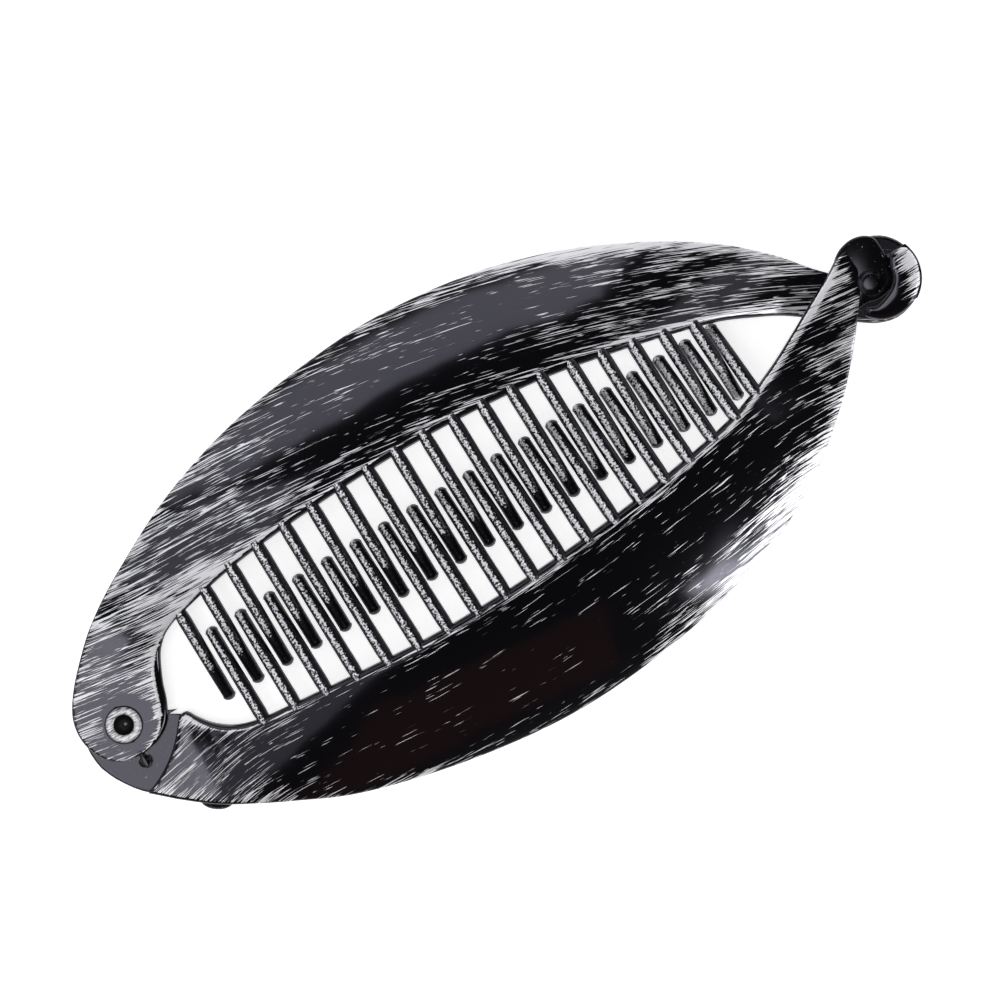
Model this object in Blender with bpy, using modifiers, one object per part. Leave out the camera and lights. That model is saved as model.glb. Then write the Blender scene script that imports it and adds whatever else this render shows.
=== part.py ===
"""Banana hair clip: two arched comb halves on one rivet, closed tip over tip.

Units are metres, +Z up. The clip lies on its two ends, arch up: +X runs from the rivet to the
clasp and +Y points to the upper half. The tables below are in millimetres from the rivet's
axis, with heights above the surface that the clip lies on.
"""

import math
from collections import namedtuple

import bmesh
import bpy
import numpy as np

MM = 0.001

# Place of the rivet's axis, with the origin under the middle of the whole clip.
PIVOT_X = -68.2
PIVOT_Y = -0.45

# The wall of both mouldings and the gap that pieces keep where they meet.
WALL = 1.9
GAP = 0.3

# Levels at the hinge, from the surface up.
PLATE_TOP = 2.4
EAR_TOP = PLATE_TOP + GAP + WALL
RIM_RISE = 0.3
STEP_TOP = EAR_TOP + RIM_RISE

# The rivet: a turned eyelet with a blind hole and a head at each end.
RIVET_HOLE_R = 1.55
RIVET_SHANK_R = 2.15
RIVET_HEAD_R = 3.0
RIVET_HEAD = 0.6
RIVET_FOOT = 0.1
RIVET_FLOOR = 1.0
RIVET_EDGE = 0.25
BORE_R = RIVET_SHANK_R + GAP
RECESS_R = RIVET_HEAD_R + GAP
RECESS_DEEP = RIVET_FOOT + RIVET_HEAD + GAP
TURNED_SIDES = 32
SMALL_SIDES = 20

# The lower half's round hinge plate, and the part of its rim that is one arc, in degrees.
PLATE_R = 6.8
PLATE_START = -20.0
PLATE_STOP = 180.0

# The block under the lower blade's step: how far it stays below the top, behind the step and
# off both rims, the last two as shares, and the number of places along it.
STEP_SINK = 1.0
STEP_LEAD = 0.08
STEP_MARGIN = 0.03
STEP_PLACES = 9

# The small lug under the ear, which slides over the hinge plate as the clip opens.
LUG_WIDE = 2.2
LUG_START = 3.6
LUG_REACH = 7.7
LUG_CORNER = 0.4
LUG_THICK = 1.1

# The low oval nub under the lower half's outer rim: its middle, half axes and turn in degrees.
NUB_X = 6.4
NUB_Y = -17.6
NUB_LONG = 2.5
NUB_DEEP = 1.3
NUB_TURN = -34.0
NUB_TOP = 3.6

# The clasp: three levels, so that the lower half's head lies between the two of the hook.
CLASP_X = 136.4
CLASP_Y = 0.3
CLASP_R = 6.9
LOW_TOP = WALL
HEAD_BOTTOM = LOW_TOP + GAP
HEAD_TOP = 4.1
HEAD_ROUND = 0.3
BUTTON_FOOT = 3.0
BUTTON_STEP_TOP = 4.3
BUTTON_TOP = 4.5
BUTTON_R = 1.4
BUTTON_STEP_R = 2.1
BUTTON_X = 135.1
TONGUE_BOTTOM = BUTTON_TOP + GAP
TONGUE_TOP = 6.3
TONGUE_ROUND = 0.55
HEAD_REACH = 139.4
RISER_REACH = HEAD_REACH + 0.4
HOOK_START = -140.0
HOOK_STOP = 22.0

# How far a cutter or a joined block runs past the face that it meets.
PAST = 1.0

# Teeth: rods that reach past the other half's, narrower and lower at the free end.
TEETH = 19
TOOTH_R = 0.95
ROOT_SHARE = 0.78
TIP_SHARE = 0.86
DOME_SHARE = 0.62
POINT_SHARE = 0.3
TOOTH_ROOT = 0.9
TOOTH_DROOP = 3.6
EVEN_UNTIL = 0.6
TIP_LONG = 1.0
DOME_LONG = 0.35

# Each comb's teeth: the first and last place at the height read_y, how much the pitch falls
# towards the clasp, and the first and last tooth's free end and lean in degrees.
Comb = namedtuple("Comb", "first_x last_x fall read_y first_tip last_tip first_lean last_lean")
UPPER_COMB = Comb(16.5, 107.8, 0.050, 10.4, -5.1, -5.1, 0.0, 2.0)
LOWER_COMB = Comb(19.4, 110.9, 0.060, -7.0, 6.4, 7.6, 0.9, 4.0)

# How the blades bow outwards: share of the fall that is straight, the rest grows as a square.
CROWN_STRAIGHT = 0.42
ACROSS = 8
STEPS_PER_ROW = 2

# The inner edges run on past this x from the hinge, where the teeth may stand.
HINGE_END_X = 8.0

Row = namedtuple("Row", "inner_x inner_y outer_x outer_y inner_z outer_z bulge")

# Cross-sections of the upper half, from the ear's round end to the low band under the clasp.
UPPER_ROWS = [
    Row(0.9, -5.3, -0.9, -5.3, EAR_TOP, EAR_TOP, 0.0),
    Row(3.8, -4.6, -3.8, -4.5, EAR_TOP, EAR_TOP, 0.0),
    Row(6.2, -2.8, -5.8, -2.4, EAR_TOP, EAR_TOP, 0.0),
    Row(7.7, -0.1, -6.9, 0.8, EAR_TOP, EAR_TOP, 0.0),
    Row(8.6, 2.6, -6.6, 4.3, EAR_TOP, EAR_TOP, 0.0),
    Row(9.8, 5.2, -4.9, 7.5, EAR_TOP, EAR_TOP, 0.0),
    Row(11.2, 7.3, -1.6, 11.4, 5.1, 4.6, 0.0),
    Row(13.5, 9.1, 3.7, 16.3, 6.2, 4.8, 0.0),
    Row(18.0, 10.6, 11.5, 21.3, 8.6, 5.5, 0.0),
    Row(27.0, 12.6, 24.0, 27.5, 12.6, 7.2, 0.0),
    Row(39.4, 14.0, 38.5, 32.0, 16.7, 9.0, 0.0),
    Row(54.8, 14.8, 54.8, 34.4, 19.7, 10.3, 0.0),
    Row(68.0, 14.7, 68.0, 34.8, 20.6, 10.8, 0.0),
    Row(82.9, 13.5, 83.5, 32.9, 19.2, 10.0, 0.0),
    Row(95.3, 11.3, 97.0, 28.9, 15.8, 8.2, 0.0),
    Row(104.5, 9.1, 109.0, 23.3, 12.0, 6.3, 0.0),
    Row(111.7, 7.0, 118.3, 17.3, 8.4, 4.4, 0.0),
    Row(117.2, 4.5, 124.6, 11.6, 5.2, 2.8, 0.0),
    Row(121.5, 2.2, 128.4, 7.0, 2.7, 2.15, 0.0),
    Row(125.6, -0.7, 131.6, 3.6, LOW_TOP, LOW_TOP, 0.0),
    Row(129.4, -3.3, 133.8, 0.6, LOW_TOP, LOW_TOP, 0.0),
    Row(133.0, -5.7, 135.6, -1.2, LOW_TOP, LOW_TOP, 0.0),
    Row(136.6, -6.5, 137.0, -1.4, LOW_TOP, LOW_TOP, 0.0),
    Row(140.4, -5.2, 138.6, -0.6, LOW_TOP, LOW_TOP, 0.0),
    Row(142.6, -2.6, 139.4, 0.4, LOW_TOP, LOW_TOP, 0.0),
    Row(143.2, 0.3, 139.4, 1.5, LOW_TOP, LOW_TOP, 0.0),
    Row(142.7, 2.9, 138.9, 2.7, LOW_TOP, LOW_TOP, 0.0),
    Row(141.4, 5.0, 138.0, 3.7, LOW_TOP, LOW_TOP, 0.0),
    Row(139.7, 6.3, 137.0, 4.5, LOW_TOP, LOW_TOP, 0.0),
    Row(137.6, 7.1, 136.2, 5.0, LOW_TOP, LOW_TOP, 0.0),
]

# Cross-sections of the lower half, from the step round the ear to its neck over the tip.
LOWER_ROWS = [
    Row(8.0, -3.0, -2.1, -11.1, STEP_TOP, STEP_TOP, 1.1),
    Row(9.4, -3.0, 0.1, -13.1, 5.1, 4.9, 1.0),
    Row(10.2, -4.5, 1.9, -14.7, 5.4, 4.9, 0.9),
    Row(11.9, -6.8, 6.4, -18.2, 6.2, 4.9, 0.5),
    Row(14.5, -8.7, 11.5, -21.1, 7.6, 5.3, 0.2),
    Row(18.5, -9.9, 17.3, -24.0, 9.4, 6.0, 0.0),
    Row(26.0, -10.7, 25.4, -27.6, 12.4, 7.2, 0.0),
    Row(36.1, -11.6, 36.1, -30.6, 15.9, 8.7, 0.0),
    Row(48.6, -12.4, 48.6, -32.9, 18.8, 9.9, 0.0),
    Row(61.1, -12.3, 61.1, -34.0, 20.4, 10.6, 0.0),
    Row(73.5, -11.6, 74.0, -33.4, 20.4, 10.7, 0.0),
    Row(86.0, -10.3, 88.0, -31.1, 18.6, 9.9, 0.0),
    Row(98.5, -8.3, 102.0, -26.9, 14.8, 8.2, 0.0),
    Row(107.5, -6.2, 113.0, -20.8, 11.4, 6.5, 0.0),
    Row(115.0, -3.1, 121.5, -13.9, 8.2, 5.2, 0.0),
    Row(120.3, -0.4, 126.5, -8.6, 6.3, 4.7, 0.0),
    Row(125.5, 2.4, 130.0, -4.2, 5.1, 4.6, 0.0),
    Row(129.8, 4.7, 132.8, -0.4, 4.5, 4.4, 0.0),
    Row(132.2, 6.2, 134.2, 2.2, 4.25, 4.2, 0.0),
    Row(134.8, 7.1, 135.7, 4.0, 4.15, 4.15, 0.0),
]

COLORS = {
    "black_plastic": (0.013, 0.013, 0.017, 1.0),
    "rivet_metal": (0.32, 0.32, 0.34, 1.0),
}


def clear_scene():
    """Remove every object that is in the scene."""
    for old in list(bpy.data.objects):
        bpy.data.objects.remove(old, do_unlink=True)


def new_collection(name, helper=False):
    """Link a new collection to the scene; a helper collection stays out of renders."""
    made = bpy.data.collections.new(name)
    bpy.context.scene.collection.children.link(made)
    made.hide_render = helper
    return made


def new_material(name, roughness, metallic):
    """One Principled material in its colour from the table."""
    made = bpy.data.materials.new(name)
    made.use_nodes = True
    shader = made.node_tree.nodes["Principled BSDF"]
    shader.inputs["Base Color"].default_value = COLORS[name]
    shader.inputs["Roughness"].default_value = roughness
    shader.inputs["Metallic"].default_value = metallic
    return made


def add_mesh(name, vertices, faces, collection):
    """A mesh object from vertices in millimetres, placed at the rivet's axis."""
    mesh = bpy.data.meshes.new(name)
    mesh.from_pydata((np.asarray(vertices) * MM).tolist(), [], faces)
    mesh.update()
    made = bpy.data.objects.new(name, mesh)
    made.location = (PIVOT_X * MM, PIVOT_Y * MM, 0.0)
    collection.objects.link(made)
    return made


def as_helper(made):
    """Mark an object as one that only cuts or joins another."""
    made.hide_render = True
    made.display_type = "WIRE"
    return made


def curve_to_mesh(curve_object, collection):
    """Turn a curve object into a closed mesh object of the same name and place."""
    bpy.context.view_layer.update()
    graph = bpy.context.evaluated_depsgraph_get()
    mesh = bpy.data.meshes.new_from_object(curve_object.evaluated_get(graph))
    work = bmesh.new()
    work.from_mesh(mesh)
    bmesh.ops.remove_doubles(work, verts=work.verts, dist=0.002 * MM)
    bmesh.ops.recalc_face_normals(work, faces=work.faces)
    work.to_mesh(mesh)
    work.free()
    name = curve_object.name
    place = curve_object.matrix_world.copy()
    bpy.data.objects.remove(curve_object, do_unlink=True)
    made = bpy.data.objects.new(name, mesh)
    made.matrix_world = place
    collection.objects.link(made)
    return made


def flat_piece(name, outline, bottom, top, collection, bevel=0.0):
    """A flat outline in millimetres, extruded from bottom to top."""
    curve = bpy.data.curves.new(name, "CURVE")
    curve.dimensions = "2D"
    curve.fill_mode = "BOTH"
    curve.extrude = (top - bottom) / 2 * MM
    spline = curve.splines.new("POLY")
    spline.points.add(len(outline) - 1)
    for point, (x, y) in zip(spline.points, outline):
        point.co = (x * MM, y * MM, 0.0, 1.0)
    spline.use_cyclic_u = True
    made = bpy.data.objects.new(name, curve)
    made.location = (PIVOT_X * MM, PIVOT_Y * MM, (top + bottom) / 2 * MM)
    collection.objects.link(made)
    made = curve_to_mesh(made, collection)
    if bevel:
        rounding = made.modifiers.new("rounded edges", "BEVEL")
        rounding.width = bevel * MM
        rounding.segments = 2
        rounding.limit_method = "ANGLE"
        rounding.angle_limit = math.radians(50)
    return as_helper(made)


def arc(centre_x, centre_y, radius, start_deg, end_deg, steps):
    """Points along an arc, both ends included."""
    angles = np.radians(np.linspace(start_deg, end_deg, steps + 1))
    return [(centre_x + radius * math.cos(a), centre_y + radius * math.sin(a)) for a in angles]


def cylinder(name, x, y, radius, bottom, top, collection, sides=TURNED_SIDES):
    """An upright cylinder that cuts or joins another piece."""
    mesh = bpy.data.meshes.new(name)
    work = bmesh.new()
    bmesh.ops.create_cone(
        work,
        cap_ends=True,
        segments=sides,
        radius1=radius * MM,
        radius2=radius * MM,
        depth=(top - bottom) * MM,
    )
    work.to_mesh(mesh)
    work.free()
    made = bpy.data.objects.new(name, mesh)
    made.location = ((PIVOT_X + x) * MM, (PIVOT_Y + y) * MM, (top + bottom) / 2 * MM)
    collection.objects.link(made)
    return as_helper(made)


def through_rows(rows, steps):
    """Every section between the rows, on a Catmull-Rom curve through each column."""
    table = np.array(rows, dtype=float)
    padded = np.vstack([2 * table[0] - table[1], table, 2 * table[-1] - table[-2]])
    sections = []
    for index in range(len(table) - 1):
        before, start, end, after = padded[index : index + 4]
        for step in range(steps):
            t = step / steps
            bend = 2 * before - 5 * start + 4 * end - after
            twist = 3 * start - before - 3 * end + after
            sections.append(start + 0.5 * t * (end - before + t * (bend + t * twist)))
    sections.append(table[-1])
    return np.array(sections)


def edge_values(rows, column, at_x):
    """A column of the table at a given x along the inner edge, read past the hinge's rows."""
    sections = through_rows(rows, STEPS_PER_ROW)
    first = int(np.argmax(sections[:, 0] > HINGE_END_X))
    return float(np.interp(at_x, sections[first:, 0], sections[first:, column]))


def blade(name, rows, collection):
    """A crowned blade: an open surface through the rows, given its wall downwards."""
    sections = through_rows(rows, STEPS_PER_ROW)
    across = np.linspace(0.0, 1.0, ACROSS + 1)
    fall = CROWN_STRAIGHT * across + (1 - CROWN_STRAIGHT) * across**2
    inner = sections[:, 0:2]
    chord = sections[:, 2:4] - inner
    normal = np.stack([-chord[:, 1], chord[:, 0]], axis=1)
    normal /= np.linalg.norm(normal, axis=1, keepdims=True)
    bow = sections[:, 6, None] * 4 * across * (1 - across)
    plan = inner[:, None] + chord[:, None] * across[None, :, None]
    plan = plan + normal[:, None] * bow[:, :, None]
    height = sections[:, 4, None] + (sections[:, 5] - sections[:, 4])[:, None] * fall
    height = np.maximum(height, WALL)
    points = np.concatenate([plan, height[:, :, None]], axis=2).reshape(-1, 3)
    width = ACROSS + 1
    faces = []
    for row in range(len(sections) - 1):
        for column in range(ACROSS):
            corner = row * width + column
            faces.append((corner, corner + 1, corner + width + 1, corner + width))
    made = add_mesh(name, points, faces, collection)
    work = bmesh.new()
    work.from_mesh(made.data)
    if sum(face.normal.z for face in work.faces) < 0:
        bmesh.ops.reverse_faces(work, faces=work.faces)
    work.to_mesh(made.data)
    work.free()
    wall = made.modifiers.new("wall", "SOLIDIFY")
    wall.thickness = WALL * MM
    wall.offset = -1.0
    return made


def teeth(name, rows, comb, collection):
    """A row of rods from inside a blade's inner edge to their rounded free ends."""
    curve = bpy.data.curves.new(name, "CURVE")
    curve.dimensions = "3D"
    curve.bevel_depth = TOOTH_R * MM
    curve.bevel_resolution = 2
    curve.use_fill_caps = True
    for share in np.linspace(0.0, 1.0, TEETH):
        bent = share + comb.fall * share * (1 - share)
        x = comb.first_x + (comb.last_x - comb.first_x) * bent
        tip_y = comb.first_tip + (comb.last_tip - comb.first_tip) * share
        lean = comb.first_lean + (comb.last_lean - comb.first_lean) * share
        edge_y = edge_values(rows, 1, x)
        side = math.copysign(1.0, edge_y)
        root_y = edge_y + side * TOOTH_ROOT
        root_z = edge_values(rows, 4, x) - WALL / 2
        length = abs(root_y - tip_y)
        stops = [0.0, TOOTH_ROOT + TOOTH_R / 2, length * EVEN_UNTIL]
        stops += [length - TIP_LONG, length - DOME_LONG, length]
        sizes = [ROOT_SHARE, 1.0, 1.0, TIP_SHARE, DOME_SHARE, POINT_SHARE]
        spline = curve.splines.new("POLY")
        spline.points.add(len(stops) - 1)
        for point, along, size in zip(spline.points, stops, sizes):
            y = root_y - side * along
            z = root_z - TOOTH_DROOP * (along / length) ** 2
            shift = (comb.read_y - y) * math.tan(math.radians(lean))
            point.co = ((x + shift) * MM, y * MM, z * MM, 1.0)
            point.radius = size
    made = bpy.data.objects.new(name, curve)
    made.location = (PIVOT_X * MM, PIVOT_Y * MM, 0.0)
    collection.objects.link(made)
    return as_helper(curve_to_mesh(made, collection))


def combine(target, other, operation, solver="EXACT"):
    """Add one Boolean step to a piece."""
    step = target.modifiers.new(f"{operation.lower()} {other.name}", "BOOLEAN")
    step.operation = operation
    step.object = other
    step.solver = solver
    return step


def finish(made, material):
    """Give a piece its material and smooth shading that stops at its sharp edges."""
    made.data.materials.append(material)
    made.data.shade_smooth()
    made.data.set_sharp_from_angle(angle=math.radians(35))


def make_rivet(collection):
    """The hollow rivet, turned from its half profile down the outer side and up the hole."""
    top = EAR_TOP + GAP + RIVET_HEAD
    profile = [
        (0.0, RIVET_FLOOR),
        (RIVET_HOLE_R, RIVET_FLOOR),
        (RIVET_HOLE_R, top - RIVET_EDGE),
        (RIVET_HOLE_R + RIVET_EDGE, top),
        (RIVET_HEAD_R - RIVET_EDGE, top),
        (RIVET_HEAD_R, top - RIVET_EDGE),
        (RIVET_HEAD_R, EAR_TOP + GAP),
        (RIVET_SHANK_R, EAR_TOP + GAP),
        (RIVET_SHANK_R, RIVET_FOOT + RIVET_HEAD),
        (RIVET_HEAD_R, RIVET_FOOT + RIVET_HEAD),
        (RIVET_HEAD_R, RIVET_FOOT + RIVET_EDGE),
        (RIVET_HEAD_R - RIVET_EDGE, RIVET_FOOT),
        (0.0, RIVET_FOOT),
    ]
    mesh = bpy.data.meshes.new("hinge_rivet")
    points = [(x * MM, 0.0, z * MM) for x, z in profile]
    edges = [(index, index + 1) for index in range(len(points) - 1)]
    mesh.from_pydata(points, edges, [])
    made = bpy.data.objects.new("hinge_rivet", mesh)
    made.location = (PIVOT_X * MM, PIVOT_Y * MM, 0.0)
    collection.objects.link(made)
    turn = made.modifiers.new("turned", "SCREW")
    turn.steps = TURNED_SIDES
    turn.render_steps = TURNED_SIDES
    turn.use_merge_vertices = True
    turn.merge_threshold = 0.00001
    turn.use_smooth_shade = True
    return made


def hinge_plate_outline():
    """The lower half's floor round the rivet, reaching under its own blade."""
    round_part = arc(0.0, 0.0, PLATE_R, PLATE_START, PLATE_STOP, 28)
    return round_part + [
        (-6.9, -1.3),
        (-6.8, -2.7),
        (-6.6, -4.0),
        (-6.1, -5.3),
        (-5.5, -6.6),
        (-4.7, -7.9),
        (-3.8, -9.2),
        (-2.8, -10.4),
        (-1.8, -11.3),
        (0.6, -12.0),
        (3.6, -11.0),
        (6.4, -8.6),
        (8.4, -6.2),
        (9.6, -3.9),
        (8.4, -1.6),
    ]


def step_outline():
    """The block that carries the lower blade's end, behind the step round the ear."""
    sections = through_rows(LOWER_ROWS, STEPS_PER_ROW)
    start = sections[0]
    far = sections[2 * STEPS_PER_ROW]
    front = []
    back = []
    for share in np.linspace(STEP_MARGIN, 1 - STEP_MARGIN, STEP_PLACES):
        bow = 4 * share * (1 - share)
        for section, points in ((start, front), (far, back)):
            inner = section[0:2]
            chord = section[2:4] - inner
            side = np.array([-chord[1], chord[0]]) / np.linalg.norm(chord)
            place = inner + chord * share + side * section[6] * bow
            points.append(place)
    near = [tuple(a + (b - a) * STEP_LEAD) for a, b in zip(front, back)]
    return near + [tuple(b) for b in reversed(back)]


def tongue_outline():
    """The hook's upper band, seen from above, round the clasp's middle."""
    outer = arc(CLASP_X, CLASP_Y, CLASP_R, HOOK_START, HOOK_STOP, 20)
    inner = [
        (139.6, 2.9),
        (138.8, 1.2),
        (138.4, -0.5),
        (137.4, -1.7),
        (135.8, -2.5),
        (134.0, -3.0),
        (132.6, -2.4),
    ]
    return outer + inner


def riser_outline():
    """The hook's upright wall, between the clasp's circle and an arc round the rivet."""
    start = -math.degrees(math.acos((RISER_REACH - CLASP_X) / CLASP_R))
    outer = arc(CLASP_X, CLASP_Y, CLASP_R, start, HOOK_STOP, 14)
    low = math.degrees(math.asin(outer[1][1] / RISER_REACH))
    high = math.degrees(math.asin(outer[-1][1] / RISER_REACH))
    return outer + arc(0.0, 0.0, RISER_REACH, high, low, 6)


def head_outline():
    """The lower half's round head, cut off where the hook's wall passes."""
    return [
        (HEAD_REACH, 3.6),
        (139.3, 5.1),
        (139.0, 6.2),
        (138.2, 7.0),
        (137.1, 7.5),
        (135.8, 7.7),
        (134.4, 7.5),
        (133.1, 7.0),
        (131.9, 6.1),
        (130.9, 5.1),
        (129.6, 3.9),
        (129.3, 2.4),
        (130.5, -0.9),
        (131.5, -2.2),
        (133.2, -2.2),
        (135.0, -2.6),
        (137.2, -2.2),
        (139.2, -1.0),
        (HEAD_REACH, 1.2),
    ]


def nub_outline():
    """The nub's oval, along the lower half's outer rim."""
    turn = math.radians(NUB_TURN)
    points = []
    for x, y in arc(0.0, 0.0, 1.0, 0.0, 360.0, SMALL_SIDES)[:-1]:
        along = NUB_LONG * x
        over = NUB_DEEP * y
        place_x = NUB_X + along * math.cos(turn) - over * math.sin(turn)
        place_y = NUB_Y + along * math.sin(turn) + over * math.cos(turn)
        points.append((place_x, place_y))
    return points


def make_upper_half(parts, helpers):
    """The upper half: blade, ear, comb, stop lug and hook in one moulding."""
    half = blade("upper_half", UPPER_ROWS, parts)
    tongue = flat_piece(
        "tongue", tongue_outline(), TONGUE_BOTTOM, TONGUE_TOP, helpers, TONGUE_ROUND
    )
    riser = flat_piece("riser", riser_outline(), 0.0, TONGUE_BOTTOM + PAST, helpers)
    side = LUG_WIDE / 2
    lug = [
        (-side, -LUG_START),
        (-side, -LUG_REACH + LUG_CORNER),
        (-side / 2, -LUG_REACH),
        (side / 2, -LUG_REACH),
        (side, -LUG_REACH + LUG_CORNER),
        (side, -LUG_START),
    ]
    stop = flat_piece("stop_lug", lug, EAR_TOP - WALL, EAR_TOP - WALL + LUG_THICK, helpers)
    comb = teeth("upper_comb", UPPER_ROWS, UPPER_COMB, helpers)
    bore = cylinder("ear_bore", 0, 0, BORE_R, 0.0, EAR_TOP + PAST, helpers)
    for other in (riser, tongue, stop, comb):
        combine(half, other, "UNION")
    combine(half, bore, "DIFFERENCE")
    return half


def make_lower_half(parts, helpers):
    """The lower half: blade, hinge plate, comb, neck and round head in one moulding."""
    half = blade("lower_half", LOWER_ROWS, parts)
    plate = flat_piece("hinge_plate", hinge_plate_outline(), 0.0, PLATE_TOP, helpers)
    step = flat_piece("step_block", step_outline(), 0.0, STEP_TOP - STEP_SINK, helpers)
    head = flat_piece("round_head", head_outline(), HEAD_BOTTOM, HEAD_TOP, helpers, HEAD_ROUND)
    ring = cylinder(
        "button_step",
        BUTTON_X,
        CLASP_Y,
        BUTTON_STEP_R,
        BUTTON_FOOT,
        BUTTON_STEP_TOP,
        helpers,
        SMALL_SIDES,
    )
    button = cylinder(
        "button",
        BUTTON_X,
        CLASP_Y,
        BUTTON_R,
        BUTTON_FOOT + HEAD_ROUND,
        BUTTON_TOP,
        helpers,
        SMALL_SIDES,
    )
    nub = flat_piece("rim_nub", nub_outline(), 0.0, NUB_TOP, helpers)
    comb = teeth("lower_comb", LOWER_ROWS, LOWER_COMB, helpers)
    bore = cylinder("plate_bore", 0, 0, BORE_R, -PAST, PLATE_TOP + PAST, helpers)
    recess = cylinder("rivet_recess", 0, 0, RECESS_R, -PAST, RECESS_DEEP, helpers)
    combine(half, head, "UNION", "MANIFOLD")
    for other in (step, plate, ring, button, nub, comb):
        combine(half, other, "UNION")
    for other in (bore, recess):
        combine(half, other, "DIFFERENCE")
    return half


def main():
    """Build the clip's three pieces."""
    clear_scene()
    parts = new_collection("banana_hair_clip")
    helpers = new_collection("cutters", helper=True)
    plastic = new_material("black_plastic", 0.22, 0.0)
    metal = new_material("rivet_metal", 0.35, 0.8)
    finish(make_lower_half(parts, helpers), plastic)
    finish(make_upper_half(parts, helpers), plastic)
    finish(make_rivet(parts), metal)


main()
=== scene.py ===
"""The looks of a closed banana hair clip: gloss black plastic, dry-brushed with silver paint.

Sizes are millimetres from the rivet's axis, with heights above the surface that the clip lies
on: +X runs to the clasp, +Y to the upper half. Meshes are written in metres, in the frame's axes.
"""

from __future__ import annotations

import logging
import math
from dataclasses import dataclass, field
from enum import Enum
from typing import Any, NamedTuple

import bmesh
import bpy
import numpy as np
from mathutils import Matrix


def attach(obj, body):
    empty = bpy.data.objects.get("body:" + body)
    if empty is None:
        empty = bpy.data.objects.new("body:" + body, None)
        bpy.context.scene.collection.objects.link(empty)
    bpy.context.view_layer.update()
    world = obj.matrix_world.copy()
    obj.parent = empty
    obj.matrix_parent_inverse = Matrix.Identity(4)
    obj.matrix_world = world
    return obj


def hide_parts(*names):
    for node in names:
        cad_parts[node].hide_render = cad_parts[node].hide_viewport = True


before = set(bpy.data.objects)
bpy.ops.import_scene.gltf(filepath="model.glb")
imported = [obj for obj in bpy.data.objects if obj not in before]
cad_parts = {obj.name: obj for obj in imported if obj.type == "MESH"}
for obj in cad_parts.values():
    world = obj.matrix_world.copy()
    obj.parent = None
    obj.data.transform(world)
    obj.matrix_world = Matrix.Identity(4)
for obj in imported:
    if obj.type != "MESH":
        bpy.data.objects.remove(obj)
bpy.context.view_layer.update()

LOG = logging.getLogger("hair_clip")
MM = 0.001
PIVOT = np.array([-68.2, -0.45, 0.0])

# The wall of both mouldings, the levels at the two ends and the lowest height of any point.
WALL = 1.9
PLATE_TOP = 2.4
EAR_TOP = 4.6
STEP_TOP = 4.9
LOWEST = 0.02

# Shape of a blade across its width: the share of its fall that is straight.
CROWN_STRAIGHT = 0.42

# Heights between which the rivet's hole is bored, past the top and the underside.
BORE_SPAN = (-2.0, 9.0)

# Steps of a quarter circle on a rim and on a tooth's round end.
RIM_STEPS = 4
END_STEPS = 6


class Row(NamedTuple):
    """One cross-section of a blade, from its inner edge to its outer edge.

    The heights are those of the top surface. The bulge pushes the middle out sideways.
    """

    inner_x: float
    inner_y: float
    outer_x: float
    outer_y: float
    inner_z: float
    outer_z: float
    bulge: float = 0.0


class Comb(NamedTuple):
    """Where a half's teeth stand, how they lean and where they end.

    Tooth k of n has the share s = k / (n - 1). On the line y = read_y it stands at
    first_x + (last_x - first_x)(s + fall s(1 - s)), so the gaps narrow along the comb. Its tip
    and its lean in degrees run evenly from the first tooth's to the last one's.
    """

    first_x: float
    last_x: float
    fall: float
    read_y: float
    first_tip: float
    last_tip: float
    first_lean: float
    last_lean: float


UPPER_ROWS = (
    Row(0.9, -5.3, -0.9, -5.3, EAR_TOP, EAR_TOP),
    Row(3.8, -4.6, -3.8, -4.5, EAR_TOP, EAR_TOP),
    Row(6.2, -2.8, -5.8, -2.4, EAR_TOP, EAR_TOP),
    Row(7.7, -0.1, -6.9, 0.8, EAR_TOP, EAR_TOP),
    Row(8.6, 2.6, -6.6, 4.3, EAR_TOP, EAR_TOP),
    Row(9.8, 5.2, -4.9, 7.5, EAR_TOP, EAR_TOP),
    Row(11.2, 7.3, -1.6, 11.4, 5.1, 4.6),
    Row(13.5, 9.1, 3.7, 16.3, 6.2, 4.8),
    Row(18.0, 10.6, 11.5, 21.3, 8.6, 5.5),
    Row(27.0, 12.6, 24.0, 27.5, 12.6, 7.2),
    Row(39.4, 14.0, 38.5, 32.0, 16.7, 9.0),
    Row(54.8, 14.8, 54.8, 34.4, 19.7, 10.3),
    Row(68.0, 14.7, 68.0, 34.8, 20.6, 10.8),
    Row(82.9, 13.5, 83.5, 32.9, 19.2, 10.0),
    Row(95.3, 11.3, 97.0, 28.9, 15.8, 8.2),
    Row(104.5, 9.1, 109.0, 23.3, 12.0, 6.3),
    Row(111.7, 7.0, 118.3, 17.3, 8.4, 4.4),
    Row(117.2, 4.5, 124.6, 11.6, 5.2, 2.8),
    Row(121.5, 2.2, 128.4, 7.0, 2.7, 2.15),
    Row(125.6, -0.7, 131.6, 3.6, WALL, WALL),
    Row(129.4, -3.3, 133.8, 0.6, WALL, WALL),
    Row(133.0, -5.7, 135.6, -1.2, WALL, WALL),
    Row(136.6, -6.5, 137.0, -1.4, WALL, WALL),
    Row(140.4, -5.2, 138.6, -0.6, WALL, WALL),
    Row(142.6, -2.6, 139.4, 0.4, WALL, WALL),
    Row(143.2, 0.3, 139.4, 1.5, WALL, WALL),
    Row(142.7, 2.9, 138.9, 2.7, WALL, WALL),
    Row(141.4, 5.0, 138.0, 3.7, WALL, WALL),
    Row(139.7, 6.3, 137.0, 4.5, WALL, WALL),
    Row(137.6, 7.1, 136.2, 5.0, WALL, WALL),
)

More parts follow.
